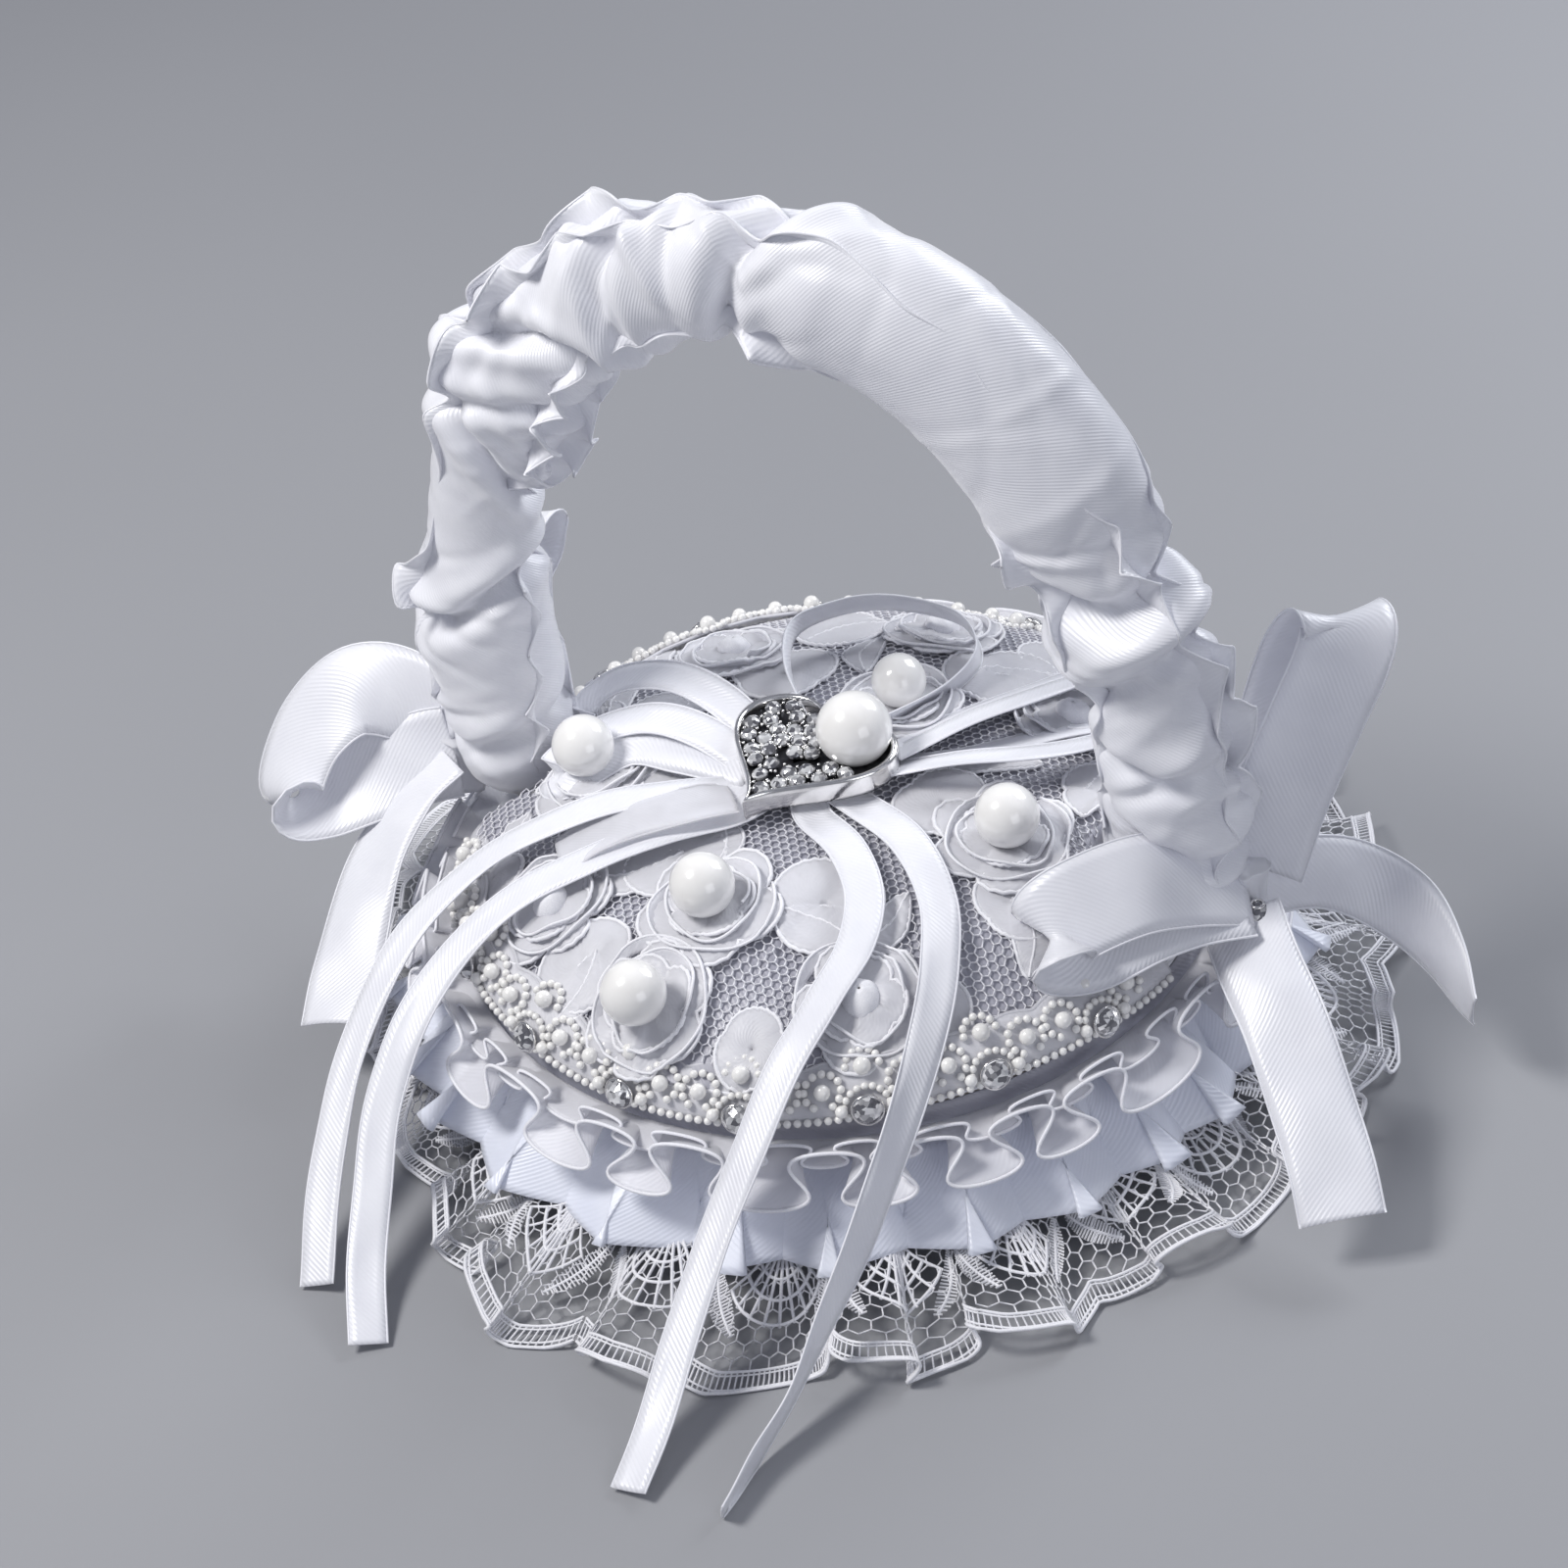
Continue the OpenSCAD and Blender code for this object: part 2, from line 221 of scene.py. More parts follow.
def metal(name, low, high, rough):
    """Plated metal with a faint mottled tarnish."""
    return surface(name, low, high, ("Noise", 500.0, 3.0), None, (0.08, 0.0001),
                   Metallic=1.0, Roughness=rough)


def board(name, low, high, scale=700.0, rough=0.85):
    """Pressed board, foam or moulded band: a grain that shows up close."""
    return surface(name, low, high, ("Noise", scale, 5.0), None, (0.3, 0.0003), Roughness=rough)


# ---- mesh building

class Build:
    """Collects rings, tubes and sheets and turns them into one mesh."""

    def __init__(self):
        self.verts, self.polys, self.uvs, self.mats, self.smooth = [], [], [], [], []
        self.count = 0

    def add(self, verts, polys, uv=None, mat=0, smooth=True):
        """Adds vertices and their faces, which all have as many corners; returns where they start.

        uv gives a place for each vertex, or for each corner of each face.
        """
        verts = np.asarray(verts, float).reshape(-1, 3)
        polys = np.asarray(polys, int)
        if uv is None:
            corner_uv = np.zeros((*polys.shape, 2))
        elif len(uv) == len(verts) and np.ndim(uv) == 2:
            corner_uv = np.asarray(uv)[polys]
        else:
            corner_uv = np.asarray(uv)
        start = self.count
        self.verts.append(verts)
        self.count += len(verts)
        self.add_faces(start, polys, corner_uv, mat, smooth)
        return start

    def add_faces(self, start, polys, corner_uv=None, mat=0, smooth=True):
        """Adds faces on vertices that are there already, counted on from start."""
        polys = np.atleast_2d(polys)
        if corner_uv is None:
            corner_uv = np.zeros((polys.size, 2))
        self.polys.append(polys + start)
        self.uvs.append(corner_uv.reshape(-1, 2))
        self.mats.append(np.full(len(polys), mat))
        self.smooth.append(np.full(len(polys), smooth))

    def mesh(self, name):
        mesh = bpy.data.meshes.new(name)
        verts = np.concatenate(self.verts) * MM
        loops = np.concatenate([p.ravel() for p in self.polys])
        totals = np.concatenate([np.full(len(p), p.shape[1]) for p in self.polys])
        mesh.vertices.add(len(verts))
        mesh.vertices.foreach_set("co", verts.ravel())
        mesh.loops.add(len(loops))
        mesh.loops.foreach_set("vertex_index", loops)
        mesh.polygons.add(len(totals))
        starts = np.concatenate([[0], np.cumsum(totals)[:-1]])
        mesh.polygons.foreach_set("loop_start", starts)
        mesh.polygons.foreach_set("loop_total", totals)
        mesh.polygons.foreach_set("material_index", np.concatenate(self.mats))
        mesh.polygons.foreach_set("use_smooth", np.concatenate(self.smooth))
        layer = mesh.uv_layers.new(name="cloth")
        layer.data.foreach_set("uv", np.concatenate(self.uvs).ravel())
        mesh.update(calc_edges=True)
        mesh.validate()
        return mesh

    def piece(self, name, materials, body=None, nodes=(), slot=None):
        """Makes the mesh an object that rides a body and shows some CAD nodes."""
        obj = bpy.data.objects.new(name, self.mesh(name))
        for mat in materials:
            obj.data.materials.append(mat)
        bpy.context.scene.collection.objects.link(obj)
        if body:
            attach(obj, body)
        if nodes:
            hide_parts(*nodes)
        return obj


def unit(v):
    return v / np.maximum(np.linalg.norm(v, axis=-1, keepdims=True), 1e-12)


def grid_faces(rows, columns, wrap_rows=False, wrap_columns=False):
    i, j = np.meshgrid(np.arange(rows if wrap_rows else rows - 1),
                       np.arange(columns if wrap_columns else columns - 1), indexing="ij")
    i, j = i.ravel(), j.ravel()
    k, m = (i + 1) % rows, (j + 1) % columns
    return np.stack([i * columns + j, k * columns + j, k * columns + m, i * columns + m], 1)


def grid_normals(grid, closed):
    along = (np.roll(grid, -1, 0) - np.roll(grid, 1, 0)) if closed else np.gradient(grid, axis=0)
    return unit(np.cross(along, np.gradient(grid, axis=1)))


def add_cloth(build, grid, thick, closed=False, mat=0):
    """A thin closed shell on a grid of points; rows run along the cloth. Returns (width, length)."""
    rows, columns = grid.shape[:2]
    normals = grid_normals(grid, closed)
    both = np.concatenate([(grid + normals * thick / 2).reshape(-1, 3),
                           (grid - normals * thick / 2).reshape(-1, 3)])
    steps = np.linalg.norm(np.diff(grid, axis=0), axis=2).mean(1)
    u = np.concatenate([[0], np.cumsum(steps)])
    if closed:
        u = np.append(u, u[-1] + np.linalg.norm(grid[0] - grid[-1], axis=1).mean())
    v = np.concatenate([[0], np.cumsum(np.linalg.norm(np.diff(grid, axis=1), axis=2).mean(0))])
    faces = grid_faces(rows, columns, wrap_rows=closed)
    i = np.repeat(np.arange(rows if closed else rows - 1), columns - 1)
    j = np.tile(np.arange(columns - 1), rows if closed else rows - 1)
    uv = np.stack([np.stack([u[i], v[j]], 1), np.stack([u[i + 1], v[j]], 1),
                   np.stack([u[i + 1], v[j + 1]], 1), np.stack([u[i], v[j + 1]], 1)], 1)
    n = rows * columns
    polys = [faces, faces[:, ::-1] + n]
    uvs = [uv, uv[:, ::-1]]
    rims = [(np.arange(rows) * columns, closed, True),
            (np.arange(rows) * columns + columns - 1, closed, False)]
    if not closed:
        rims += [(np.arange(columns), False, False),
                 (np.arange(columns) + (rows - 1) * columns, False, True)]
    for rim, wrap, turn in rims:
        a = rim if wrap else rim[:-1]
        b = np.roll(rim, -1) if wrap else rim[1:]
        quad = np.stack([a, a + n, b + n, b] if turn else [a, b, b + n, a + n], 1)
        polys.append(quad)
        uvs.append(np.zeros((*quad.shape, 2)))
    build.add(both, np.concatenate(polys), np.concatenate(uvs), mat)
    return v[-1], u[-1]


def add_tubes(build, lines, radius, sides=6, closed=False, mat=0):
    """Round threads along an array of lines, all with the same number of points."""
    lines = np.asarray(lines, float)
    if lines.ndim == 2:
        lines = lines[None]
    count, points = lines.shape[:2]
    if closed:
        tangent = np.roll(lines, -1, 1) - np.roll(lines, 1, 1)
    else:
        tangent = np.gradient(lines, axis=1)
    tangent = unit(tangent)
    level = np.where(np.abs(tangent[:, :1, 2:]) < 0.9, [0, 0, 1.0], [1.0, 0, 0])
    side = unit(np.cross(tangent, np.broadcast_to(level, tangent.shape)))
    above = np.cross(side, tangent)
    angle = np.arange(sides) * TURN / sides
    radius = np.broadcast_to(np.asarray(radius, float), (count, points))
    ring = (lines[:, :, None] + radius[:, :, None, None] * (
        side[:, :, None] * np.cos(angle)[:, None] + above[:, :, None] * np.sin(angle)[:, None]))
    one = grid_faces(points, sides, wrap_rows=closed, wrap_columns=True)
    offset = np.arange(count)[:, None, None] * points * sides
    start = build.add(ring, (one[None] + offset).reshape(-1, 4), mat=mat)
    if not closed:
        first = np.arange(sides)[::-1]
        last = np.arange(sides) + (points - 1) * sides
        caps = np.concatenate([first + offset, last + offset]).reshape(-1, sides)
        build.add_faces(start, caps, mat=mat, smooth=False)


def add_balls(build, places, radii, mat=0, sides=14):
    """Round beads, made of quads with small polar caps."""
    rings = 9
    polar = np.linspace(0.12, math.pi - 0.12, rings)
    angle = np.arange(sides) * TURN / sides
    verts = np.stack([np.outer(np.sin(polar), np.cos(angle)),
                      np.outer(np.sin(polar), np.sin(angle)),
                      np.outer(np.cos(polar), np.ones(sides))], 2).reshape(-1, 3)
    faces = grid_faces(rings, sides, wrap_columns=True)
    caps = [np.arange(sides), (np.arange(sides) + (rings - 1) * sides)[::-1]]
    for place, radius in zip(places, radii):
        start = build.add(verts * radius + place, faces, mat=mat)
        build.add_faces(start, caps, mat=mat)


def stone():
    """A brilliant-cut stone of radius 1: table, crown facets, girdle and base."""
    eight = np.arange(8) * TURN / 8
    table = [(0.52 * math.cos(a), 0.52 * math.sin(a), 0.62) for a in eight]
    star = [(0.8 * math.cos(a + TURN / 16), 0.8 * math.sin(a + TURN / 16), 0.42) for a in eight]
    girdle = [(math.cos(a), math.sin(a), 0.1) for a in np.arange(16) * TURN / 16]
    base = [(0.94 * math.cos(a), 0.94 * math.sin(a), -0.25) for a in np.arange(16) * TURN / 16]
    tris = []
    for k in range(8):
        n = (k + 1) % 8
        edge = 16 + 2 * k
        far = 16 + (2 * k + 2) % 16
        tris += [(k, 8 + k, n), (k, edge, 8 + k), (8 + k, edge, edge + 1),
                 (8 + k, edge + 1, far), (8 + k, far, n)]
    quads = [(16 + k, 32 + k, 32 + (k + 1) % 16, 16 + (k + 1) % 16) for k in range(16)]
    return np.array(table + star + girdle + base), np.array(tris), np.array(quads)


def add_stones(build, places, normals, radius):
    verts, tris, quads = stone()
    table, base = np.arange(8), np.arange(47, 31, -1)
    for n, (place, normal) in enumerate(zip(places, normals)):
        up = unit(np.asarray(normal, float))
        side = unit(np.cross(up, [math.sin(1.7 * n), math.cos(1.7 * n), 0.2]))
        turn = np.stack([side, np.cross(up, side), up], 1)
        start = build.add(verts * radius @ turn.T + place, tris, smooth=False)
        for faces in (quads, table, base):
            build.add_faces(start, faces, smooth=False)


def smooth_route(points, count):
    """Points spaced along one smooth curve through the given ones."""
    p = np.asarray(points, float)
    p = np.vstack([2 * p[0] - p[1], p, 2 * p[-1] - p[-2]])
    t = np.linspace(0, len(p) - 3 - 1e-9, count)
    i = t.astype(int)
    f = (t - i)[:, None]
    a, b, c, d = p[i], p[i + 1], p[i + 2], p[i + 3]
    return 0.5 * (2 * b + (c - a) * f + (2 * a - 5 * b + 4 * c - d) * f ** 2
                  + (3 * b - a - 3 * c + d) * f ** 3)


def ribbon_grid(route, sides, width, cup=0.0, ripple=0.0, step=0.8, columns=9):
    """Ribbon along a route, its width turned to the side vectors given at the route's points."""
    rough = smooth_route(route, 200)
    length = np.linalg.norm(np.diff(rough, axis=0), axis=1).sum()
    count = max(12, int(length / step))
    line, side = smooth_route(route, count), smooth_route(sides, count)
    tangent = unit(np.gradient(line, axis=0))
    side = unit(side - (side * tangent).sum(1, keepdims=True) * tangent)
    normal = np.cross(side, tangent)
    v = np.linspace(-0.5, 0.5, columns)
    along = np.linspace(0, length, count)
    wave = ripple * np.outer(np.sin(along / 5.3 + 1), v) + ripple * 0.6 * np.outer(
        np.sin(along / 2.9), np.cos(5 * v))
    height = cup * (4 * v ** 2)[None] + wave
    return line[:, None] + side[:, None] * (v * width)[None, :, None] + normal[:, None] * height[..., None]


def add_ribbon(build, grid, thick=0.22, edge=0.2, mat=0):
    """A woven ribbon with a fine corded selvedge along both edges."""
    size = add_cloth(build, grid, thick, mat=mat)
    for j in (0, -1):
        add_tubes(build, grid[:, j], edge, 6, mat=mat)
    return size


# ---- the start: camera, streamers

make_camera()

WHITE_SATIN = satin("white_satin", (0.80, 0.805, 0.86), (0.88, 0.885, 0.93))
RUFFLE_SATIN = satin("ruffle_satin", (0.76, 0.79, 0.90), (0.85, 0.875, 0.96))
COVER_SATIN = satin("cover_satin", (0.34, 0.34, 0.40), (0.44, 0.44, 0.50), rough=0.42)
ORGANZA = sheer("organza", (0.90, 0.90, 0.95), 0.62)
ORGANZA_EDGE = thread("organza_edge", (0.84, 0.84, 0.90), (0.95, 0.95, 0.99))
LACE = thread("lace_thread", (0.84, 0.84, 0.89), (0.95, 0.95, 0.98))
EMBROIDERY = thread("embroidery", (0.80, 0.80, 0.85), (0.95, 0.95, 0.98), twist=0.25)
NET = thread("net_thread", (0.80, 0.80, 0.86), (0.92, 0.92, 0.96))
# A glossy lacquer over a softly mottled ivory bead
PEARL = surface("pearl", (0.90, 0.885, 0.86), (0.97, 0.96, 0.94), ("Noise", 160.0, 2.0), None,
                (0.04, 0.0002), Roughness=0.24, Coat_Weight=0.9, Coat_Roughness=0.06,
                Coat_IOR=1.7, Sheen_Weight=0.25)
# Cut glass with painted glints: a cell pattern of near-black and white patches paints the bright and dark
# reflections of its facets
CRYSTAL_PAINTED_GLINTS = surface("crystal", (0.16, 0.16, 0.18), (1.0, 1.0, 1.0),
                        ("Voronoi", 1300.0, None), Metallic=0.5, Roughness=0.1,
                        Coat_Weight=1.0, Coat_Roughness=0.02)
SILVER = metal("silver", (0.74, 0.73, 0.72), (0.88, 0.87, 0.86), 0.16)
# The heart's pocket floor: near-black painted shade that stands for the dark gaps between its stones
POCKET_PAINTED_SHADE = metal("pocket", (0.03, 0.03, 0.035), (0.12, 0.12, 0.13), 0.4)
CARD = board("card", (0.52, 0.47, 0.40), (0.66, 0.61, 0.54))
FOAM = board("foam", (0.80, 0.80, 0.76), (0.90, 0.90, 0.87), 1500.0)
BAND = board("handle_band", (0.78, 0.77, 0.74), (0.86, 0.85, 0.82), 250.0, 0.45)
STAPLE = metal("staple_steel", (0.50, 0.50, 0.52), (0.66, 0.66, 0.68), 0.32)

STREAMERS = {
    "streamer_1": [
        (-11, -9, 42), (-20, -13, 42.5), (-29, -17, 41.5), (-38, -22, 39), (-46, -29, 35.5),
        (-52, -38, 31), (-55, -48, 25.5), (-56, -58, 19), (-55, -68, 12.5), (-53, -77, 6.5),
        (-50, -86, 1.2)],
    "streamer_2": [
        (-9, -15, 42), (-17, -21, 42), (-26, -28, 40.5), (-35, -35, 37.5), (-42, -44, 32.5),
        (-46, -54, 26), (-47, -64, 18.5), (-45, -74, 11), (-42, -84, 5), (-37, -94, 1.2)],
    "streamer_3": [
        (3, -12, 42), (11, -18, 42.5), (17, -26, 41.5), (19, -35, 39.8), (18, -44, 37.8),
        (16, -54, 34), (14, -64, 27), (12, -74, 19), (11, -85, 11.5), (11, -96, 5),
        (11, -107, 1.2)],
    "streamer_4": [
        (9, -8, 42), (19, -14, 42.5), (27, -23, 40.5), (31, -33, 38), (33, -44, 34),
        (33, -55, 28), (32, -66, 21), (30, -77, 13.5), (28, -88, 7), (26, -98, 3),
        (25, -107, 1.2)],
}
# How far each streamer has turned from lying level, in degrees at its start and at its end
TWISTS = {"streamer_1": (0, -14), "streamer_2": (0, 12), "streamer_3": (0, -8),
          "streamer_4": (0, 100)}


def make_streamers():
    for name, route in STREAMERS.items():
        path = np.array(route, float)
        root = path[0] + 0.6 * (np.array([*HEART, 43.0]) - path[0])
        path = np.vstack([root, path])
        tangent = unit(np.gradient(path, axis=0))
        side = unit(np.cross(tangent, [0, 0, 1]))
        above = np.cross(side, tangent)
        low, high = TWISTS[name]
        share = np.clip(np.linspace(-0.4, 1.3, len(path)), 0, 1)
        angle = np.radians(low + (high - low) * share)[:, None]
        sides = side * np.cos(angle) + above * np.sin(angle)
        build = Build()
        grid = ribbon_grid(path, sides, NARROW_W, cup=0.25, ripple=0.25, columns=5)
        grid[..., 2] = np.maximum(grid[..., 2], 0.35)
        add_ribbon(build, grid, 0.2, 0.18)
        obj = build.piece(name + "_ribbon", [WHITE_SATIN], "lid", [name], "ribbon_satin")


make_streamers()


# ---- the tub's cloth

def around(angle, r, z):
    return np.stack([r * np.cos(angle), r * np.sin(angle), z + 0 * r], -1)


def finish_sheet(build, name, materials, body, nodes, slot, size, area=None):
    """Makes a sheet of cloth: size is its flat width and length in millimetres.

    area is its flat area in square metres where that isn't width x length, or "threads" for open
    work, whose area is that of its threads.
    """
    obj = build.piece(name, materials, body, nodes, slot)
    flat = (round(float(size[0]) * MM, 4), round(float(size[1]) * MM, 4))
    if area == "threads":
        area = min(round(sum(p.area for p in obj.data.polygons) / 2, 6), flat[0] * flat[1])
    return obj


def make_tub_cloth():
    angle = np.linspace(0, TURN, 360, endpoint=False)[:, None]

    def puckers(depth, count):
        return depth * (np.sin(count * angle) + 0.5 * np.sin(2.3 * count * angle + 1))

    build = Build()
    z = np.linspace(0.9, TUB_TOP - 0.2, 12)[None]
    lift = np.sin(math.pi * (z - 0.9) / (TUB_TOP - 1.1))
    r = COVER_R - 0.35 + np.abs(puckers(0.25, 60)) * lift
    size = add_cloth(build, around(angle, r, z), 0.3, closed=True)
    finish_sheet(build, "wall_satin", [COVER_SATIN], "basket", ["wall_cover"], "cover_satin",
                 size)

    build = Build()
    wall = np.linspace(0, 1, 12)
    bottom = np.linspace(0.04, 1, 16)
    profile_r = np.concatenate([bottom * (LINING_R - 1.2), LINING_R - 0.5 + 0 * wall])[None]
    profile_z = np.concatenate([FLOOR_TOP + 0.5 + 0 * bottom,
                                FLOOR_TOP + 1.2 + wall * (TUB_TOP - FLOOR_TOP - 1.6)])[None]
    fold = np.clip(profile_r / LINING_R, 0, 1) ** 6
    grid = around(angle, profile_r - np.abs(puckers(0.35, 44)) * fold * (profile_z > FLOOR_TOP + 1),
                  profile_z + 0.25 * fold * np.sin(44 * angle) ** 2 * (profile_z < FLOOR_TOP + 1))
    add_cloth(build, grid, 0.3, closed=True)
    span = 2 * (LINING_R + TUB_TOP)
    finish_sheet(build, "lining_satin", [WHITE_SATIN], "basket", ["tub_lining"], "cover_satin",
                 (span, span),
                 area=0.8 * span * span * MM * MM)

    build = Build()
    curl = np.linspace(0, TURN, 12, endpoint=False)[None]
    middle = (COVER_R + LINING_R) / 2
    half = (COVER_R - LINING_R) / 2
    grid = around(angle, middle + (half - 0.1) * np.cos(curl) * (1 + puckers(0.05, 90)),
                  TUB_TOP + 0.1 + (RIM_TOP - TUB_TOP - 0.2) * (0.5 + 0.5 * np.sin(curl))
                  + 0 * angle)
    rows, columns = grid.shape[:2]
    build.add(grid, grid_faces(rows, columns, True, True))
    build.piece("rim_ribbon", [WHITE_SATIN], "basket", ["rim_binding"], "ribbon_satin")

    build = Build()
    r = np.linspace(0.6, COVER_R - 0.3, 24)[None]
    grid = around(angle, r + 0 * angle, 0.35 + 0.12 * np.sin(7 * angle) * np.sin(r / 6) ** 2)
    add_cloth(build, grid, 0.3, closed=True)
    finish_sheet(build, "base_satin", [WHITE_SATIN], "basket", ["base_cover"], "cover_satin",
                 (2 * COVER_R, 2 * COVER_R),
                 area=math.pi * (COVER_R * MM) ** 2)


# ---- frills

def uneven(angle, count, seed):
    """The phase of a gathered wave whose spacing drifts round the frill."""
    return (count * angle + 1.1 * np.sin(3 * angle + seed) + 0.8 * np.sin(7 * angle + 2 * seed)
            + 0.5 * np.sin(13 * angle + 3 * seed))


# Reach of the lace from the middle, by angle in degrees from +X
LACE_REACH = [(-178, 82), (-160, 78), (-140, 74), (-120, 79), (-104, 88), (-90, 90), (-72, 86),
              (-50, 85), (-30, 83), (0, 86), (30, 83), (64, 86), (100, 85), (140, 83)]
LACE_PERIODS = 26
LACE_CUT = 680.0  # length of the lace before gathering
LACE_WIDE = 29.0
LACE_CELL = LACE_CUT / 300  # pitch of its honeycomb
LACE_BAR = 0.62            # pitch of the bars in its edge


def lace_reach(angle):
    at = np.array(LACE_REACH, float)
    return np.interp(np.degrees(angle), at[:, 0], at[:, 1], period=360)


def lace_point(u, v):
    """Where a point of the flat lace lies: u along its edge, v from seam to edge."""
    angle = TURN * u / LACE_CUT
    share = np.clip(v / LACE_WIDE, 0, 1)
    phase = uneven(angle, 21, 0.4)
    angle = angle + 0.035 * np.sin(2 * phase) * share ** 1.5
    reach = lace_reach((angle + math.pi) % TURN - math.pi)
    r = SEAM_R + (reach - SEAM_R) * (0.35 * share + 0.65 * share ** 1.25)
    z = 10.2 * (1 - share) ** 1.15 + 2.7 * share ** 0.7
    swell = share ** 1.3
    r = r + 1.9 * swell * np.sin(phase)
    z = z + 2.3 * swell * np.cos(phase) + 0.5 * swell * np.sin(2.7 * phase)
    return np.stack([r * np.cos(angle), r * np.sin(angle), np.maximum(z, 0.35)], -1)


def scallop(u):
    """Outer edge of the lace in the flat: one blunt, many-sided scallop in each period."""
    t = (u / LACE_CUT * LACE_PERIODS) % 1
    rise = np.clip(np.minimum(t, 1 - t) * 4.2, 0, 1)
    return LACE_WIDE - 3.0 + 3.4 * rise ** 0.8


def honeycomb(pitch, low, high):
    """The edges of a honeycomb over a box, as pairs of flat points."""
    step = pitch * math.sqrt(3) / 2
    x, y = np.meshgrid(np.arange(low[0], high[0] + pitch, pitch),
                       np.arange(low[1], high[1] + 2 * step, step))
    x = x + (np.arange(len(x)) % 2)[:, None] * pitch / 2
    centre = np.stack([x.ravel(), y.ravel()], 1)
    reach = pitch / math.sqrt(3)
    corner = [centre + reach * np.array([math.cos(a), math.sin(a)])
              for a in (-math.pi / 6, math.pi / 6, math.pi / 2, math.pi * 5 / 6)]
    return np.concatenate([np.stack([corner[k], corner[k + 1]], 1) for k in range(3)])


def make_lace_skirt():
    build = Build()
    edges = honeycomb(LACE_CELL, (0, 0), (LACE_CUT, LACE_WIDE))
    middle = edges.mean(1)
    keep = (edges[..., 1].min(1) > 0) & (edges[..., 1].max(1) < scallop(middle[:, 0]) - 3.2) & (
        middle[:, 0] < LACE_CUT)
    edges = edges[keep]
    add_tubes(build, lace_point(edges[..., 0], edges[..., 1]), 0.15, 3)

    u = np.linspace(0, LACE_CUT, 1150, endpoint=False)
    for inset, radius in ((0, 0.32), (0.75, 0.2), (3.1, 0.26), (2.6, 0.16)):
        add_tubes(build, lace_point(u, scallop(u) - inset), radius, 4, closed=True)
    add_tubes(build, lace_point(u, 0.3 + 0 * u), 0.5, 5, closed=True)
    bars = np.arange(0, LACE_CUT, LACE_BAR)
    across = np.stack([scallop(bars) - 0.1, scallop(bars) - 1.5, scallop(bars) - 3.0], 1)
    add_tubes(build, lace_point(bars[:, None] + 0 * across, across), 0.17, 3)

    period = LACE_CUT / LACE_PERIODS
    for k in range(LACE_PERIODS):
        add_fan(build, (k + 0.5) * period, 7.5, 13.5)
        add_leaves(build, k * period, 12.5)
    finish_sheet(build, "lace_frill", [LACE], "basket", ["lace_skirt"], "lace",
                 (LACE_WIDE, LACE_CUT), area="threads")


def add_fan(build, u, v, reach):
    """A fan of ribs that opens toward the edge, crossed by three curved bars."""
    spread = np.radians(np.linspace(-52, 52, 9))
    t = np.linspace(0.12, 1, 9)
    ribs_u = u + reach * 0.8 * np.outer(np.sin(spread), t)
    ribs_v = v + reach * np.outer(np.cos(spread), t)
    add_tubes(build, lace_point(ribs_u, ribs_v), 0.26, 4)
    bend = np.linspace(spread[0], spread[-1], 22)
    for share in (0.5, 0.72, 0.97):
        add_tubes(build, lace_point(u + reach * 0.8 * share * np.sin(bend),
                                    v + reach * share * np.cos(bend)), 0.3, 4)
    ring = np.linspace(0, TURN, 14, endpoint=False)
    add_tubes(build, lace_point(u + 1.7 * np.cos(ring), v + 1.2 + 1.7 * np.sin(ring)), 0.38, 4,
              closed=True)


def add_leaves(build, u, v):
    """Two leaves of close satin stitch that lean away from each other."""
    for lean in (-1, 1):
        t = np.linspace(0.04, 0.96, 22)
        spine_u = u + lean * (1.2 + 5.6 * t ** 1.3)
        spine_v = v + 9.5 * t
        half = 1.5 * np.sin(math.pi * t) ** 0.8 + 0.15
        du, dv = -9.5 / 11, lean * 5.6 / 11
        stitch_u = spine_u[:, None] + half[:, None] * du * np.array([-1, 0, 1])
        stitch_v = spine_v[:, None] + half[:, None] * dv * np.array([-1, 0, 1])
        add_tubes(build, lace_point(stitch_u, stitch_v), 0.21, 3)
        add_tubes(build, lace_point(spine_u, spine_v), 0.26, 4)


PLEATS = 26
ORGANZA_WAVES = 25
UPPER_WAVES = 33


def make_satin_ruffle():
    """Box pleats: flat faces that meet in sharp corners at the free edge."""
    build = Build()
    angle = np.linspace(0, TURN, 1300, endpoint=False)[:, None]
    share = np.linspace(0, 1, 14)[None]
    phase = uneven(angle, PLEATS, 1.7) / TURN
    fold = np.clip(1.7 * (4 * np.abs((phase % 1) - 0.5) - 1), -1, 1)
    skew = 4 * np.abs(((2 * phase + 0.25) % 1) - 0.5) - 1
    deep = 3.3 * fold * share ** 0.9
    flare = 1.5 * fold * share
    r = SEAM_R + 12.2 * share ** 0.95 + 0.6 * deep + flare
    z = 17.6 - 9.6 * share + 0.8 * deep - flare
    turn = angle + 0.058 * skew * share
    size = add_cloth(build, around(turn, r, z), 0.28, closed=True)
    finish_sheet(build, "satin_frill", [RUFFLE_SATIN], "basket", ["satin_ruffle"],
                 "ruffle_satin", size)


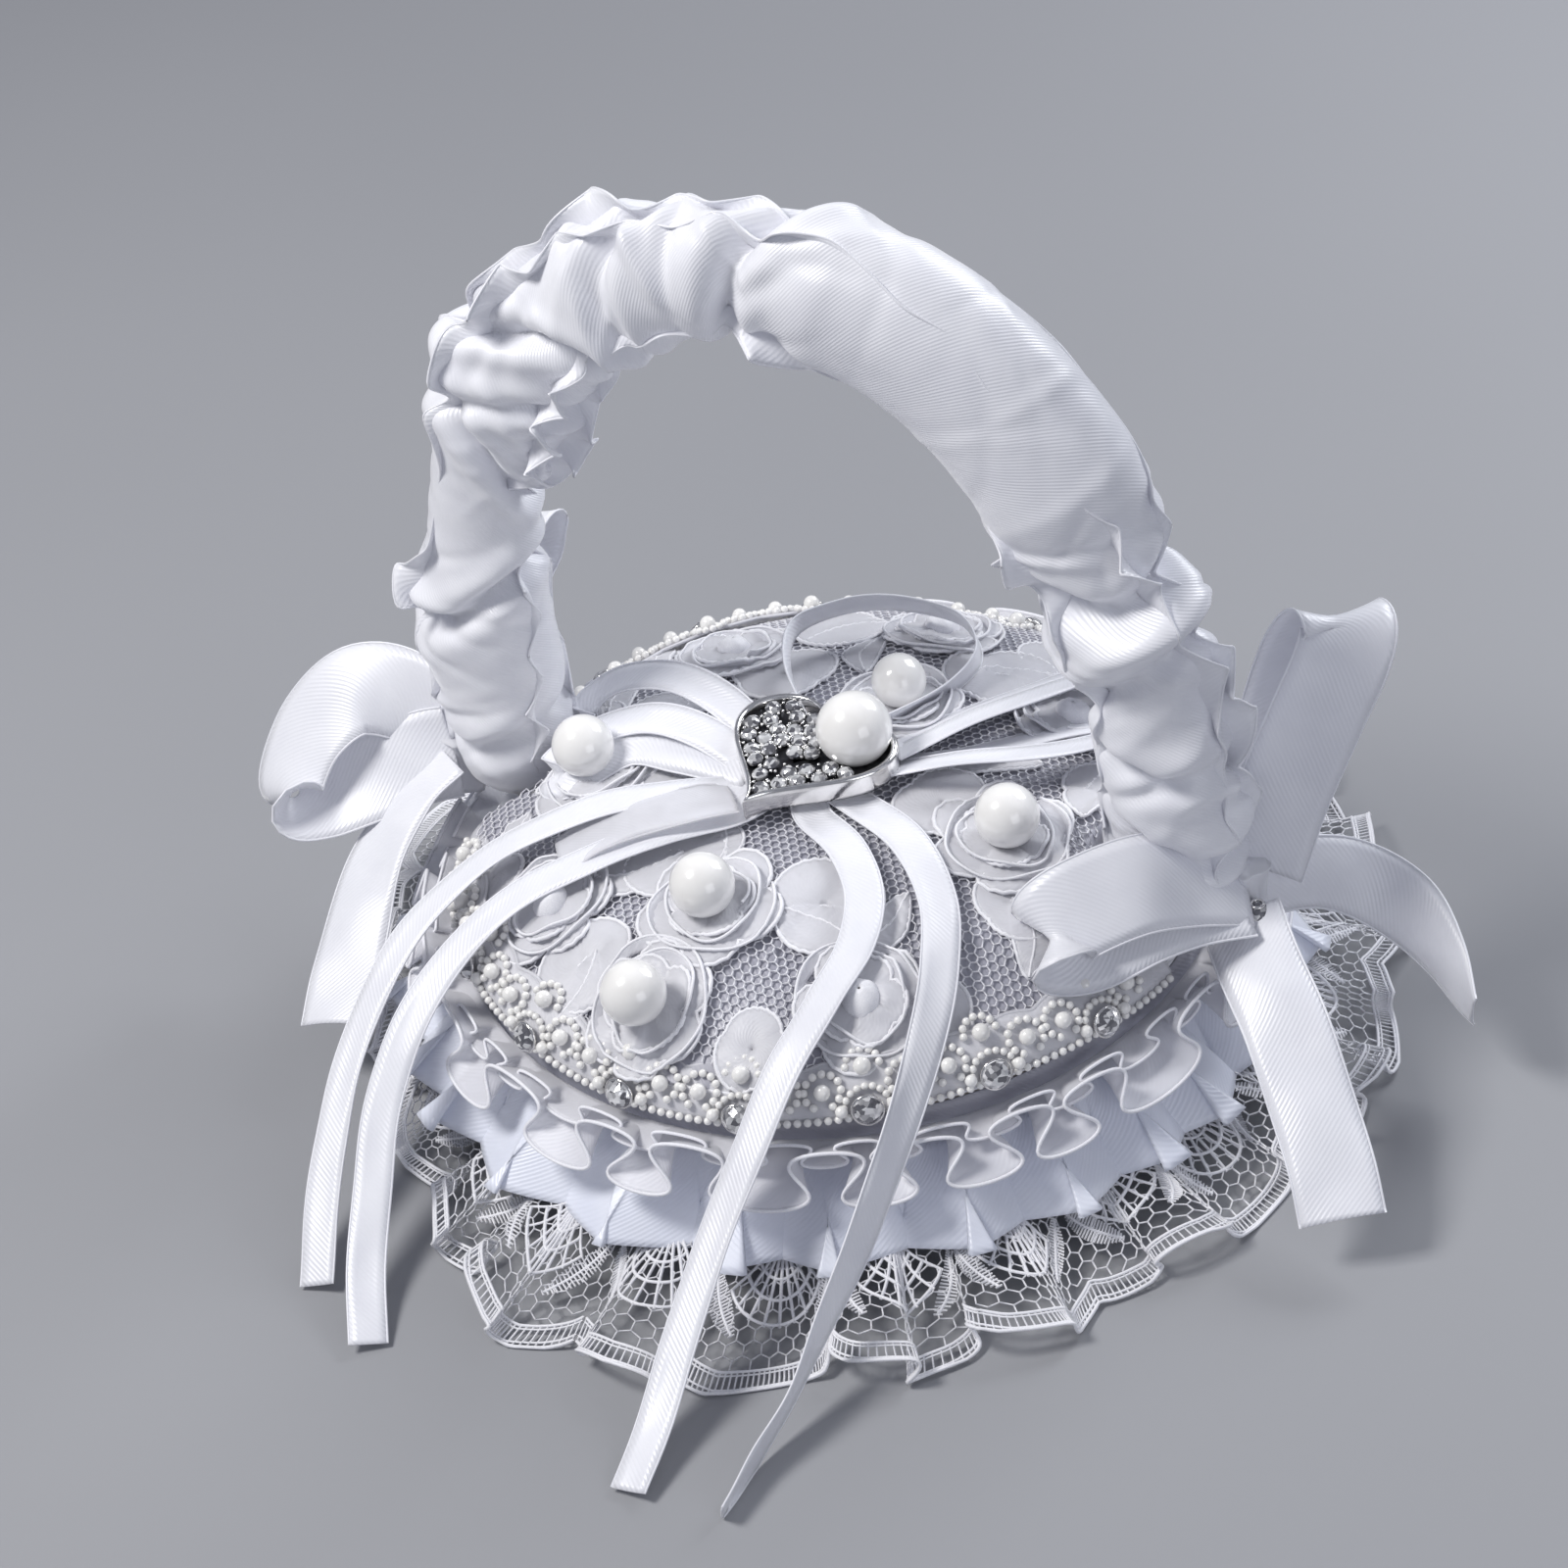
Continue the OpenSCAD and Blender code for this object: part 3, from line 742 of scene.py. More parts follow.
def make_organza_ruffle():
    """A double-edged sheer ruffle: deep soft waves below the seam, small ones above."""
    build = Build()
    angle = np.linspace(0, TURN, 1500, endpoint=False)[:, None]
    share = np.linspace(0, 1, 14)[None]
    phase = uneven(angle, ORGANZA_WAVES, 2.9)
    deep = 4.4 * share * np.cos(phase)
    r = SEAM_R + 0.4 + 8.2 * share ** 0.9 - 0.45 * deep
    z = 20.6 + 0.2 * share + 0.82 * deep
    turn = angle + 0.05 * np.sin(2 * phase) * share
    lower = around(turn, r, z)
    size = add_cloth(build, lower, 0.16, closed=True)
    add_tubes(build, lower[:, -1], 0.3, 6, closed=True, mat=1)
    phase = uneven(angle, UPPER_WAVES, 0.9)
    share = np.linspace(0, 1, 8)[None]
    deep = 1.7 * share * np.cos(phase)
    r = SEAM_R + 0.7 + 4.6 * share - 0.5 * deep
    z = 21.4 + 1.3 * share + 0.85 * deep
    turn = angle + 0.03 * np.sin(2 * phase) * share
    upper = around(turn, r, z)
    top = add_cloth(build, upper, 0.16, closed=True)
    add_tubes(build, upper[:, -1], 0.26, 6, closed=True, mat=1)
    whole = (size[0] + top[0], (size[1] * size[0] + top[1] * top[0]) / (size[0] + top[0]))
    finish_sheet(build, "organza_frill", [ORGANZA, ORGANZA_EDGE], "basket", ["organza_ruffle"],
                 "organza", whole)


# ---- handle

SLEEVE_ROUTE = [(-53.5, 28.5), (-53.5, 45), (-53.5, 62), (-51.5, 78), (-48, 91), (-42, 103.5),
                (-33, 114.5), (-18, 124), (-1, 128), (15, 125.5), (27.5, 118.5), (37.5, 107.5),
                (45, 94), (50, 79), (53.5, 62), (54.5, 45), (54.5, 29)]
# Half-width of the gathered sleeve in the arch's plane, by distance along it
SLEEVE_WIDTHS = [(0, 8.5), (11, 10.5), (28, 11.8), (40, 10.0), (50, 8.3), (62, 8.3), (69, 10.0),
                 (80, 12.0), (88, 10.5), (92, 9.3), (105, 10.5), (119, 9.0), (129, 8.0),
                 (137, 11.5), (152, 11.8), (168, 12.0), (181, 12.5), (189, 10.0), (193, 8.8),
                 (203, 12.0), (213, 9.3), (222, 10.5), (234, 11.0), (243, 10.0), (252, 8.5)]
# Creases where two puffs meet: distance along, slant, depth and width
CREASES = [(16, 5, 1.6, 1.8), (41, 6, 3.2, 1.9), (68, -7, 3.2, 1.9), (79, 5, 1.8, 1.6),
           (92, 7, 3.0, 1.9), (110, -6, 2.2, 1.7), (130, -6, 3.4, 1.8), (192, 8, 3.6, 2.0),
           (213, -7, 3.0, 1.9), (224, 5, 2.0, 1.6), (238, 6, 2.6, 1.8)]


WRINKLES = 230
FULLNESS = 1.7  # cloth's length over the gathered length
FLATNESS = 0.8  # the sleeve's depth over its width
SLEEVE_R = 11.0  # the sleeve's usual radius, for its weave


def sleeve_frames(count):
    """The sleeve's middle line, the distance along it, its direction and the way into the arch."""
    route = np.array(SLEEVE_ROUTE, float)
    line = smooth_route(np.stack([route[:, 0], 0 * route[:, 0], route[:, 1]], 1), count)
    step = np.linalg.norm(np.diff(line, axis=0), axis=1)
    s = np.concatenate([[0], np.cumsum(step)])
    tangent = unit(np.gradient(line, axis=0))
    inner = unit(np.cross([0, 1.0, 0], tangent))
    return line, s, tangent, inner


def make_sleeve():
    """A satin ribbon gathered over the band: puffs, slanting creases and four frilled edges."""
    rows, columns = 560, 96
    line, s, tangent, inner = sleeve_frames(rows)
    widths = np.array(SLEEVE_WIDTHS)
    base = np.interp(s, widths[:, 0] * s[-1] / widths[-1, 0], widths[:, 1])
    kernel = np.hanning(15)
    base = np.convolve(np.pad(base, 7, mode="edge"), kernel / kernel.sum(), "valid")
    phi = np.linspace(0, TURN, columns, endpoint=False)
    s_grid, phi_grid = np.meshgrid(s, phi, indexing="ij")
    puffs = np.zeros_like(s_grid)
    for at, slant, depth, width in CREASES:
        x = s_grid - at - slant * np.sin(phi_grid + 0.02 * at) - 1.5 * np.sin(2 * phi_grid + at)
        puffs -= depth * np.exp(-(x / width) ** 2)
        puffs += 0.35 * depth * np.exp(-((np.abs(x) - 2.4 * width) / (1.3 * width)) ** 2)
    calm = 1 - 0.85 * np.exp(-((s_grid - 160) / 24) ** 4) - 0.75 * np.exp(
        -((s_grid - 55) / 10) ** 4)
    for _ in range(WRINKLES):
        at, turn = rng.uniform(0, s[-1]), rng.uniform(0, TURN)
        lean, depth = rng.normal(0, 0.6), rng.choice([-1, 1]) * rng.uniform(0.35, 1.15)
        wide, long = rng.uniform(0.8, 1.9), rng.uniform(5, 13)
        gap = s_grid - at
        arc = ((phi_grid - turn + math.pi) % TURN - math.pi) * 10
        across = gap * math.cos(lean) + arc * math.sin(lean)
        along = -gap * math.sin(lean) + arc * math.cos(lean)
        puffs += calm * depth * np.exp(-(across / wide) ** 2 - (along / long) ** 2)
    radius = np.maximum(base[:, None] + puffs, 3.4)
    # Beside the lid the sleeve eases toward an oval that the lid's notches clear
    inward = np.clip(0.6 + np.cos(phi_grid), 0, 1)
    beside_lid = np.clip((76 - line[:, 2:]) / 8, 0, 1) * np.minimum(1, 2 * inward)
    limit = LEG_CLEAR / np.hypot(np.cos(phi_grid), FLATNESS * np.sin(phi_grid))
    eased = -0.7 * np.log(np.exp(-radius / 0.7) + np.exp(-limit / 0.7))
    radius += beside_lid * (eased - radius)
    end = np.clip(np.minimum(s, s[-1] - s) / 3.0, 0, 1)[:, None]
    radius = radius * (0.55 + 0.45 * np.sqrt(end))
    side = np.array([0, 1.0, 0])
    grid = (line[:, None] + inner[:, None] * (radius * np.cos(phi_grid))[..., None]
            + side * (FLATNESS * radius * np.sin(phi_grid))[..., None])
    build = Build()
    faces = grid_faces(rows, columns, wrap_columns=True)
    uv = np.stack([s_grid * FULLNESS, phi_grid * SLEEVE_R], -1).reshape(-1, 2)[faces]
    last = (np.arange(len(faces)) % columns) == columns - 1
    uv[last, 2:, 1] = TURN * SLEEVE_R
    start = build.add(grid, faces[:, ::-1], uv[:, ::-1])
    build.add_faces(start, [np.arange(columns)[::-1], np.arange(columns) + (rows - 1) * columns])
    for turn, seed in ((0.25, 0.0), (math.pi - 0.2, 2.1), (math.pi + 0.55, 4.0), (-0.6, 5.2)):
        add_frill_edge(build, line, s, tangent, inner, radius, turn, seed)
    obj = build.piece("sleeve_satin", [WHITE_SATIN], "basket", ["handle_sleeve"], "ribbon_satin")
    long = s[-1] * FULLNESS * MM


def add_frill_edge(build, line, s, tangent, inner, radius, start, seed):
    """The ribbon's selvedge, which stands up in a wavy frill where the gathers bunch.

    start is the angle round the sleeve at which it runs, counted from the inside of the arch.
    """
    columns = radius.shape[1]
    tall = np.full(len(s), 1.2)
    for at, _, depth, _ in CREASES:
        tall += (0.9 + 0.8 * depth) * np.exp(-((s - at) / 7.5) ** 2)
    tall *= 0.75 + 0.35 * np.sin(s / 9 + seed)
    phi = start + 0.3 * np.sin(s / 17 + seed)
    at = np.round(phi / TURN * columns).astype(int) % columns
    kernel = np.hanning(17)
    root = np.convolve(np.pad(radius[np.arange(len(s)), at], 8, mode="edge"),
                       kernel / kernel.sum(), "valid")
    side = np.array([0, 1.0, 0])
    out = inner * np.cos(phi)[:, None] + side * np.sin(phi)[:, None]
    lateral = side * np.cos(phi)[:, None] - inner * np.sin(phi)[:, None]
    share = np.linspace(0, 1, 7)[None]
    wave = s * TURN / 12 + 2.0 * np.sin(s / 12 + seed)
    grow = share * tall[:, None]
    reach = root[:, None] * (1 - 0.2 * np.abs(np.sin(phi))[:, None]) - 0.9 + grow
    if math.cos(start) > 0:
        beside_lid = np.clip((80 - line[:, 2:]) / 8, 0, 1)
        reach -= beside_lid * np.maximum(0, reach - LEG_CLEAR - 0.2)
    sway = 0.6 * grow * np.sin(wave)[:, None] * share
    slip = 0.16 * grow * np.sin(2 * wave)[:, None] * share
    grid = (line[:, None] + out[:, None] * reach[..., None] + lateral[:, None] * sway[..., None]
            + tangent[:, None] * slip[..., None])
    add_cloth(build, grid, 0.3)
    add_tubes(build, grid[:, -1], 0.2, 5)


# ---- bows

def make_ribbon_piece(name, node, body, route, sides, width, held="folded", slot="ribbon_satin",
                      material=WHITE_SATIN, **shape):
    build = Build()
    size = add_ribbon(build, ribbon_grid(route, sides, width, **shape))
    return finish_sheet(build, name, [material], body, [node], slot, size)


def make_knot(name, node, centre):
    """A short pinched wrap of ribbon that binds a bow."""
    build = Build()
    s = np.linspace(-1, 1, 15)[:, None]
    phi = np.linspace(0, TURN, 28, endpoint=False)[None]
    pinch = 2.5 + 1.1 * s ** 2 + 0.35 * np.sin(5 * phi + 2 * s) + 0.2 * np.sin(9 * phi)
    grid = np.stack([centre[0] + pinch * np.cos(phi), centre[1] + pinch * np.sin(phi),
                     centre[2] + 5 * s + 0 * phi], -1)
    rows, columns = grid.shape[:2]
    start = build.add(grid, grid_faces(rows, columns, wrap_columns=True)[:, ::-1])
    build.add_faces(start, [np.arange(columns)[::-1], np.arange(columns) + (rows - 1) * columns])
    build.piece(name, [WHITE_SATIN], "basket", [node], "ribbon_satin")


def make_bows():
    for name, node in (("left_knot", "left_bow_knot"), ("right_knot", "right_bow_knot")):
        low, high = corners(node)
        make_knot(name, node, (low + high) / 2)
    make_ribbon_piece(
        "left_loop", "left_bow_front_loop", "basket",
        [(-64, -2, 36), (-72, -1, 41.5), (-80, -3, 43), (-86, -8, 38.5), (-89, -13.5, 31.5),
         (-87.5, -15.5, 28.5), (-83, -13, 28.5), (-76, -9, 31), (-69, -5, 33), (-64, -3, 34)],
        [(0.1, -0.3, -0.95), (0.35, -0.4, -0.85), (0.6, -0.5, -0.6), (0.75, -0.55, -0.4),
         (0.76, -0.55, -0.34), (0.76, -0.55, -0.34), (0.7, -0.55, -0.4), (0.5, -0.55, -0.6),
         (0.3, -0.5, -0.8), (0.1, -0.4, -0.9)],
        BOW_W + 2.5, cup=0.5, ripple=0.4)
    make_ribbon_piece(
        "left_rear_loop", "left_bow_back_loop", "basket",
        [(-66, 4, 36), (-67, 12, 42), (-66, 20, 50), (-63, 28, 56.5), (-62.5, 31, 56),
         (-64.5, 30, 48), (-67, 19, 40), (-67.5, 7, 35)],
        [(1, 0, 0.2), (1, -0.1, 0.3), (1, -0.2, 0.3), (1, -0.2, 0.3), (1, -0.3, 0.2),
         (1, -0.3, 0.2), (1, -0.2, 0.1), (1, 0, 0.1)], BOW_W, cup=0.4, ripple=0.4)
    make_ribbon_piece(
        "left_tail", "left_bow_tail", "basket",
        [(-65, -4, 34), (-69, -10, 30), (-71, -18, 25.5), (-71, -27, 20.5), (-69.5, -36, 16),
         (-68, -45, 12)],
        [(0.9, -0.4, 0.2), (0.9, -0.3, 0.3), (0.95, -0.1, 0.3), (1, 0, 0.25), (1, 0.05, 0.2),
         (1, 0.1, 0.2)], BOW_W, held="hung", cup=0.5, ripple=0.5)
    make_ribbon_piece(
        "right_upright_loop", "right_bow_back_loop", "basket",
        [(66, 3, 34), (68.5, 8, 44), (72, 14, 54), (74.5, 19, 61), (74.5, 23, 64.5),
         (71.5, 25, 64), (68, 24, 58), (65.5, 19, 48), (64.5, 11, 38), (64.5, 6, 34)],
        [(0.9, 0.3, 0.2), (0.9, 0.42, 0.1), (0.9, 0.42, 0), (0.9, 0.42, 0), (0.9, 0.42, 0),
         (0.9, 0.42, 0), (0.9, 0.42, 0), (0.9, 0.35, 0.1), (0.9, 0.2, 0.2), (0.9, 0.1, 0.3)],
        BOW_W + 1.5, cup=0.3, ripple=0.3)
    make_ribbon_piece(
        "right_tail", "right_bow_front_tail", "basket",
        [(65, -3, 30), (70, -10, 27.5), (76, -17, 24), (82, -25, 18.5), (87, -32, 13.5),
         (90.5, -38, 9)],
        [(0.8, 0.5, 0.4), (0.8, 0.5, 0.3), (0.84, 0.52, 0.15), (0.86, 0.5, 0.1),
         (0.86, 0.5, 0.1), (0.86, 0.5, 0.1)], BOW_W, held="hung", cup=0.6, ripple=0.5)
    make_ribbon_piece(
        "right_twisted_tail", "right_bow_side_tail", "basket",
        [(66, 3, 31), (72, 8, 30), (78, 12, 27), (85, 12, 23), (92, 7, 19), (98, 1, 15)],
        [(0.1, 0.5, 0.9), (0.2, 0.55, 0.8), (0.3, 0.7, 0.6), (0.35, 0.5, 0.8),
         (0.5, -0.2, 0.85), (0.4, -0.68, 0.62)], BOW_W - 1, held="hung", cup=0.7, ripple=0.4)
    over = make_ribbon_piece(
        "right_low_loop", "right_bow_front_loop", None,
        [(65, 0, 34), (60, -7, 39), (55, -14, 42.5), (49, -19.5, 42), (45, -23, 40),
         (45, -24, 37.3), (49, -21.5, 36.5), (55, -15, 37.5), (60, -8, 36), (65, -2, 33)],
        [(0.5, -0.5, -0.5), (0.45, -0.5, -0.65), (0.4, -0.52, -0.7), (0.36, -0.52, -0.75),
         (0.35, -0.5, -0.78), (0.35, -0.5, -0.78), (0.38, -0.52, -0.75), (0.4, -0.52, -0.7),
         (0.45, -0.5, -0.65), (0.5, -0.5, -0.5)], BOW_W + 2, cup=0.6, ripple=0.4)
    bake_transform(over)


# ---- lid: cushion

def notch_reach(angle, grow=0.0):
    """How far the lid reaches at an angle, in between its two leg notches."""
    reach = np.full_like(angle, PAD_R)
    radius = NOTCH_R + grow
    for centre in (0, math.pi):
        off = (angle - centre + math.pi) % TURN - math.pi
        inside = radius ** 2 - (LEG_X * np.sin(off)) ** 2
        hit = LEG_X * np.cos(off) - np.sqrt(np.maximum(inside, 0))
        reach = np.where((inside > 0) & (np.abs(off) < 0.5), np.minimum(reach, hit), reach)
    return reach


SWELL_FRAMES = 20
SWELL_MOST = 0.5  # how far the simulation may move the cushion
SEWN_R = 2.2  # it is sewn down within this distance of a flower's middle


def swell(obj, pinned, most):
    """Blows the cushion up with a short cloth simulation and applies it, within a limit."""
    rest = np.zeros(len(obj.data.vertices) * 3)
    obj.data.vertices.foreach_get("co", rest)
    group = obj.vertex_groups.new(name="sewn")
    group.add([int(i) for i in pinned], 1, "REPLACE")
    mod = obj.modifiers.new("swell", "CLOTH")
    cloth = mod.settings
    cloth.vertex_group_mass = "sewn"
    cloth.quality = 6
    cloth.mass = 0.15
    cloth.tension_stiffness = cloth.compression_stiffness = 5
    cloth.bending_stiffness = 0.02
    cloth.shrink_min = -0.07
    cloth.use_pressure = True
    cloth.uniform_pressure_force = 4
    cloth.effector_weights.gravity = 0
    mod.collision_settings.use_self_collision = False
    mod.point_cache.frame_start, mod.point_cache.frame_end = 1, SWELL_FRAMES
    scene = bpy.context.scene
    for number in range(1, SWELL_FRAMES + 1):
        scene.frame_set(number)
    shown = obj.evaluated_get(bpy.context.evaluated_depsgraph_get())
    moved = np.zeros(len(rest))
    shown.data.vertices.foreach_get("co", moved)
    obj.modifiers.remove(mod)
    scene.frame_set(1)
    step = (moved - rest).reshape(-1, 3)
    size = np.linalg.norm(step, axis=1, keepdims=True)
    step *= np.minimum(1, most * MM / np.maximum(size, 1e-9))
    obj.data.vertices.foreach_set("co", (rest.reshape(-1, 3) + step).ravel())
    obj.data.update()


def cushion_grid(rings, spokes, lift, drop):
    """Rings of points over the crown and down the cushion's side to the board."""
    angle = np.linspace(0, TURN, spokes, endpoint=False)[:, None]
    reach = notch_reach(angle, lift + 0.4)
    share = np.sin(np.linspace(0.02, 1, rings) * math.pi / 2)[None]
    r = reach * share + lift * share
    z = PAD_Z + dome(np.minimum(r - lift * share, PAD_R) * (0.92 + 0.08 * (reach > PAD_R - 0.1))) + lift
    crown = around(angle, r, z)
    down = np.linspace(0.2, 1, 6)[None]
    wall_r = (reach + lift) + 0 * down
    top = crown[:, -1:, 2]
    wall = around(angle, wall_r, top + (PAD_Z - drop - top) * down)
    return np.concatenate([crown, wall], 1)


def make_cushion():
    rings, spokes = 44, 220
    grid = cushion_grid(rings, spokes, 0.8, 0.2)
    pucker = np.clip((np.arange(grid.shape[1]) - rings * 0.72) / (rings * 0.28), 0, 1)
    angle = np.linspace(0, TURN, spokes, endpoint=False)
    gather = 0.22 * np.sin(uneven(angle, 58, 0.7)) + 0.12 * rng.normal(size=spokes)
    grid[..., 2] += gather[:, None] * pucker[None] * (np.arange(grid.shape[1]) < rings)
    build = Build()
    rows, columns = grid.shape[:2]
    steps = np.concatenate([[0], np.cumsum(np.linalg.norm(np.diff(grid, axis=1), axis=2).mean(0))])
    flat = np.stack([np.cos(angle)[:, None] * steps, np.sin(angle)[:, None] * steps], -1)
    start = build.add(grid, grid_faces(rows, columns, wrap_rows=True)[:, ::-1],
                      flat.reshape(-1, 2))
    middle = np.arange(rows) * columns
    build.add_faces(start, middle)
    build.add_faces(start, middle[::-1] + columns - 1)
    obj = build.piece("cushion_satin", [COVER_SATIN], "lid", ["lid_satin_cover"], "cover_satin")
    points = grid.reshape(-1, 3)
    pinned = set(np.concatenate([np.arange(rows) * columns + c
                                 for c in range(rings, columns)]))
    for x, y in FLOWER_SPOTS + [tuple(HEART)]:
        gap = np.hypot(points[:, 0] - x, points[:, 1] - y)
        pinned |= set(np.nonzero(gap < SEWN_R)[0])
    swell(obj, sorted(pinned), SWELL_MOST)

    foam = obj.copy()
    foam.data = obj.data.copy()
    foam.name = foam.data.name = "cushion_foam"
    bpy.context.scene.collection.objects.link(foam)
    foam.data.materials.clear()
    foam.data.materials.append(FOAM)
    skin = np.zeros(len(foam.data.vertices) * 3)
    out = np.zeros(len(skin))
    foam.data.vertices.foreach_get("co", skin)
    foam.data.vertices.foreach_get("normal", out)
    foam.data.vertices.foreach_set("co", skin - out * 0.7 * MM)
    foam.data.update()
    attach(foam, "lid")
    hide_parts("lid_pad")
    return obj


class Crown:
    """Reads the height of the swollen cushion under any point of the plan."""

    def __init__(self, obj):
        mesh = obj.data
        verts = [v.co.copy() for v in mesh.vertices]
        faces = [tuple(p.vertices) for p in mesh.polygons if len(p.vertices) == 4]
        self.tree = BVHTree.FromPolygons(verts, faces)

    def height(self, x, y):
        """Height of the cushion's satin at (x, y); the board's edge outside it."""
        flat = np.stack([np.ravel(x), np.ravel(y)], 1)
        found = np.full(len(flat), np.nan)
        for n, (px, py) in enumerate(flat):
            hit = self.tree.ray_cast(Vector((px * MM, py * MM, 0.2)), Vector((0, 0, -1)))[0]
            found[n] = hit.z / MM if hit else PAD_Z
        return found.reshape(np.shape(x))


def on_lid(x, y, lift):
    """A point of the plan, raised by lift above the cushion, or above its board outside it."""
    x, y = np.asarray(x, float), np.asarray(y, float)
    return np.stack([x, y, CROWN.height(x, y) + lift], -1)


def make_net():
    build = Build()
    reach = PAD_R + 1.0
    edges = honeycomb(1.5, (-reach, -reach), (reach, reach))
    edges[..., 1] *= 0.94
    distance = np.linalg.norm(edges, axis=2)
    angle = np.arctan2(edges[..., 1], edges[..., 0])
    keep = (distance < notch_reach(angle, 0.9) + 0.6).all(1)
    edges = edges[keep]
    ends = on_lid(edges[..., 0], edges[..., 1], 0.45)
    add_tubes(build, ends, 0.15, 3)
    rim = np.linspace(0, TURN, 400, endpoint=False)
    r = notch_reach(rim, 0.9) + 0.7
    line = np.stack([r * np.cos(rim), r * np.sin(rim), PAD_Z + 0.5 + 0 * r], -1)
    add_tubes(build, line, 0.4, 6, closed=True)
    span = 2 * (PAD_R + 6)
    finish_sheet(build, "tulle_net", [NET], "lid", ["lid_net_cover"], "net", (span, span),
                 area="threads")


# ---- lid: lace flowers

def petal_outline(phi, petals, deep):
    return 1 - deep + deep * np.abs(np.cos(petals * phi / 2)) ** 0.6


LEG_ROOM = 0.9  # gap between a petal and a leg's sleeve
LEG_EASE = 1.3  # petals give way within this many reaches


def beside_legs(px, py, lift):
    """A place on the lid, drawn back from the room the handle's sleeve needs beside the lid."""
    px, py = np.broadcast_arrays(px, py)
    for leg in (-1, 1):
        far = np.hypot((px - leg * LEG_X) / (LEG_CLEAR + LEG_ROOM),
                       py / (LEG_CLEAR / FLATNESS + LEG_ROOM))
        eased = 1 + far * (LEG_EASE - 1) / LEG_EASE
        pushed = np.where(far < LEG_EASE, eased, far) / np.maximum(far, 0.05)
        px = leg * LEG_X + (px - leg * LEG_X) * pushed
        py = py * pushed
    return on_lid(px, py, lift)


def add_flower(build, x, y, size, petals, turn, lift, cup, deep=0.3):
    """A rosette of round petals with a corded outline and stitched rays."""
    phi = np.linspace(0, TURN, 68, endpoint=False)[:, None]
    share = np.linspace(0.02, 1, 9)[None]
    r = size * share * (petal_outline(phi, petals, deep) * share + 1 - share)
    px = x + r * np.cos(phi + turn)
    py = y + r * np.sin(phi + turn)
    rise = lift + cup * share ** 2 * np.abs(np.cos(petals * phi / 2)) + 0.35 * np.sin(
        math.pi * share) + 0.18 * np.sin(36 * phi) * share
    grid = beside_legs(px, py, rise)
    add_cloth(build, grid, 0.3, closed=True, mat=1)
    add_tubes(build, grid[:, -1], 0.34, 5, closed=True)


def add_leaf(build, x, y, heading, length, width, lift):
    """A pointed leaf of close stitches with a raised midrib."""
    t = np.linspace(0, 1, 26)[:, None]
    w = np.linspace(-1, 1, 9)[None]
    half = width / 2 * np.sin(math.pi * t) ** 0.75 + 0.1
    bend = 0.16 * length * np.sin(math.pi * t)
    along, across = t * length, w * half + bend
    px = x + along * math.cos(heading) - across * math.sin(heading)
    py = y + along * math.sin(heading) + across * math.cos(heading)
    grid = beside_legs(px, py, lift + 0.35 * (1 - w ** 2) + 0.12 * np.sin(60 * t))
    add_cloth(build, grid, 0.3, mat=1)
    add_tubes(build, np.concatenate([grid[:, 0], grid[::-1, -1]]), 0.28, 5)
    add_tubes(build, grid[:, 4], 0.26, 5)


# Leaves by place, heading in degrees, length and width; loose petals by place and size
LEAVES = [(-14, -22, 200, 17, 7), (-20, -41, 250, 12, 6), (6, -30, -20, 15, 7),
          (14, -46, 20, 12, 6), (36, -17, -60, 12, 6), (22, -22, 240, 13, 6),
          (-27, -16, 120, 14, 7), (-44, -15, 230, 11, 5), (-39, 4, 100, 15, 7),
          (-20, 12, 160, 15, 7), (-18, 33, 40, 15, 7), (12, 30, 20, 14, 6),
          (38, 8, 60, 12, 6), (18, 4, 30, 14, 6), (32, 37, 130, 12, 6), (-40, 24, 110, 11, 5),
          (44, -14, 280, 10, 5), (-4, 24, 100, 13, 6), (-12, -14, 290, 12, 5)]
LOBES = [(-15, -23, 8), (-21, -43, 7.5), (11, -27, 8.5), (9, -51, 5.5), (37, -17, 6.5),
         (-25, -12, 7.5), (-33, 6, 7), (-17, 22, 8.5), (-15, 39, 7.5), (16, 31, 9),
         (41, 9, 7), (20, -3, 7.5), (21, 42, 6.5), (-45, -27, 5), (32, -38, 5.5), (-44, 6, 6)]


def make_flowers():
    build = Build()
    for n, (x, y, size) in enumerate(LOBES):
        add_flower(build, x, y, size, 3, 1.3 * n, 0.55, 0.3, 0.16)
    for n, (x, y) in enumerate(FLOWER_SPOTS):
        turn = 0.9 * n
        add_flower(build, x, y, 11.0 if n < 3 else 9.6, 6 if n % 2 else 5, turn, 0.75, 0.9)
        add_flower(build, x, y, 6.6, 5, turn + 0.5, 1.35, 1.0, 0.22)
        if n not in (0, 1, 2, 3, 6):
            add_bud(build, x, y, 2.6)
        add_rose(build, x, y, 0.7 * n)
    for x, y, heading, length, width in LEAVES:
        add_leaf(build, x, y, math.radians(heading), length, width, 0.6)
    obj = build.piece("lace_blooms", [EMBROIDERY, ORGANZA], "lid", ["lace_flowers"], "lace")


def add_rose(build, x, y, turn):
    """A gathered strip that winds out from the flower's middle in a wavy spiral."""
    t = np.linspace(0, 1, 140)[:, None]
    w = np.linspace(0, 1, 5)[None]
    phi = turn + t * TURN * 2.1
    r = 4.4 + 4.6 * t + w * (0.9 + 0.5 * np.sin(17 * t * 2.1))
    height = 0.9 + w * (1.9 - 0.9 * t + 0.3 * np.sin(29 * t * 2.1))
    grid = beside_legs(x + r * np.cos(phi), y + r * np.sin(phi), height)
    add_cloth(build, grid, 0.22, mat=1)
    add_tubes(build, grid[:, -1], 0.24, 5)


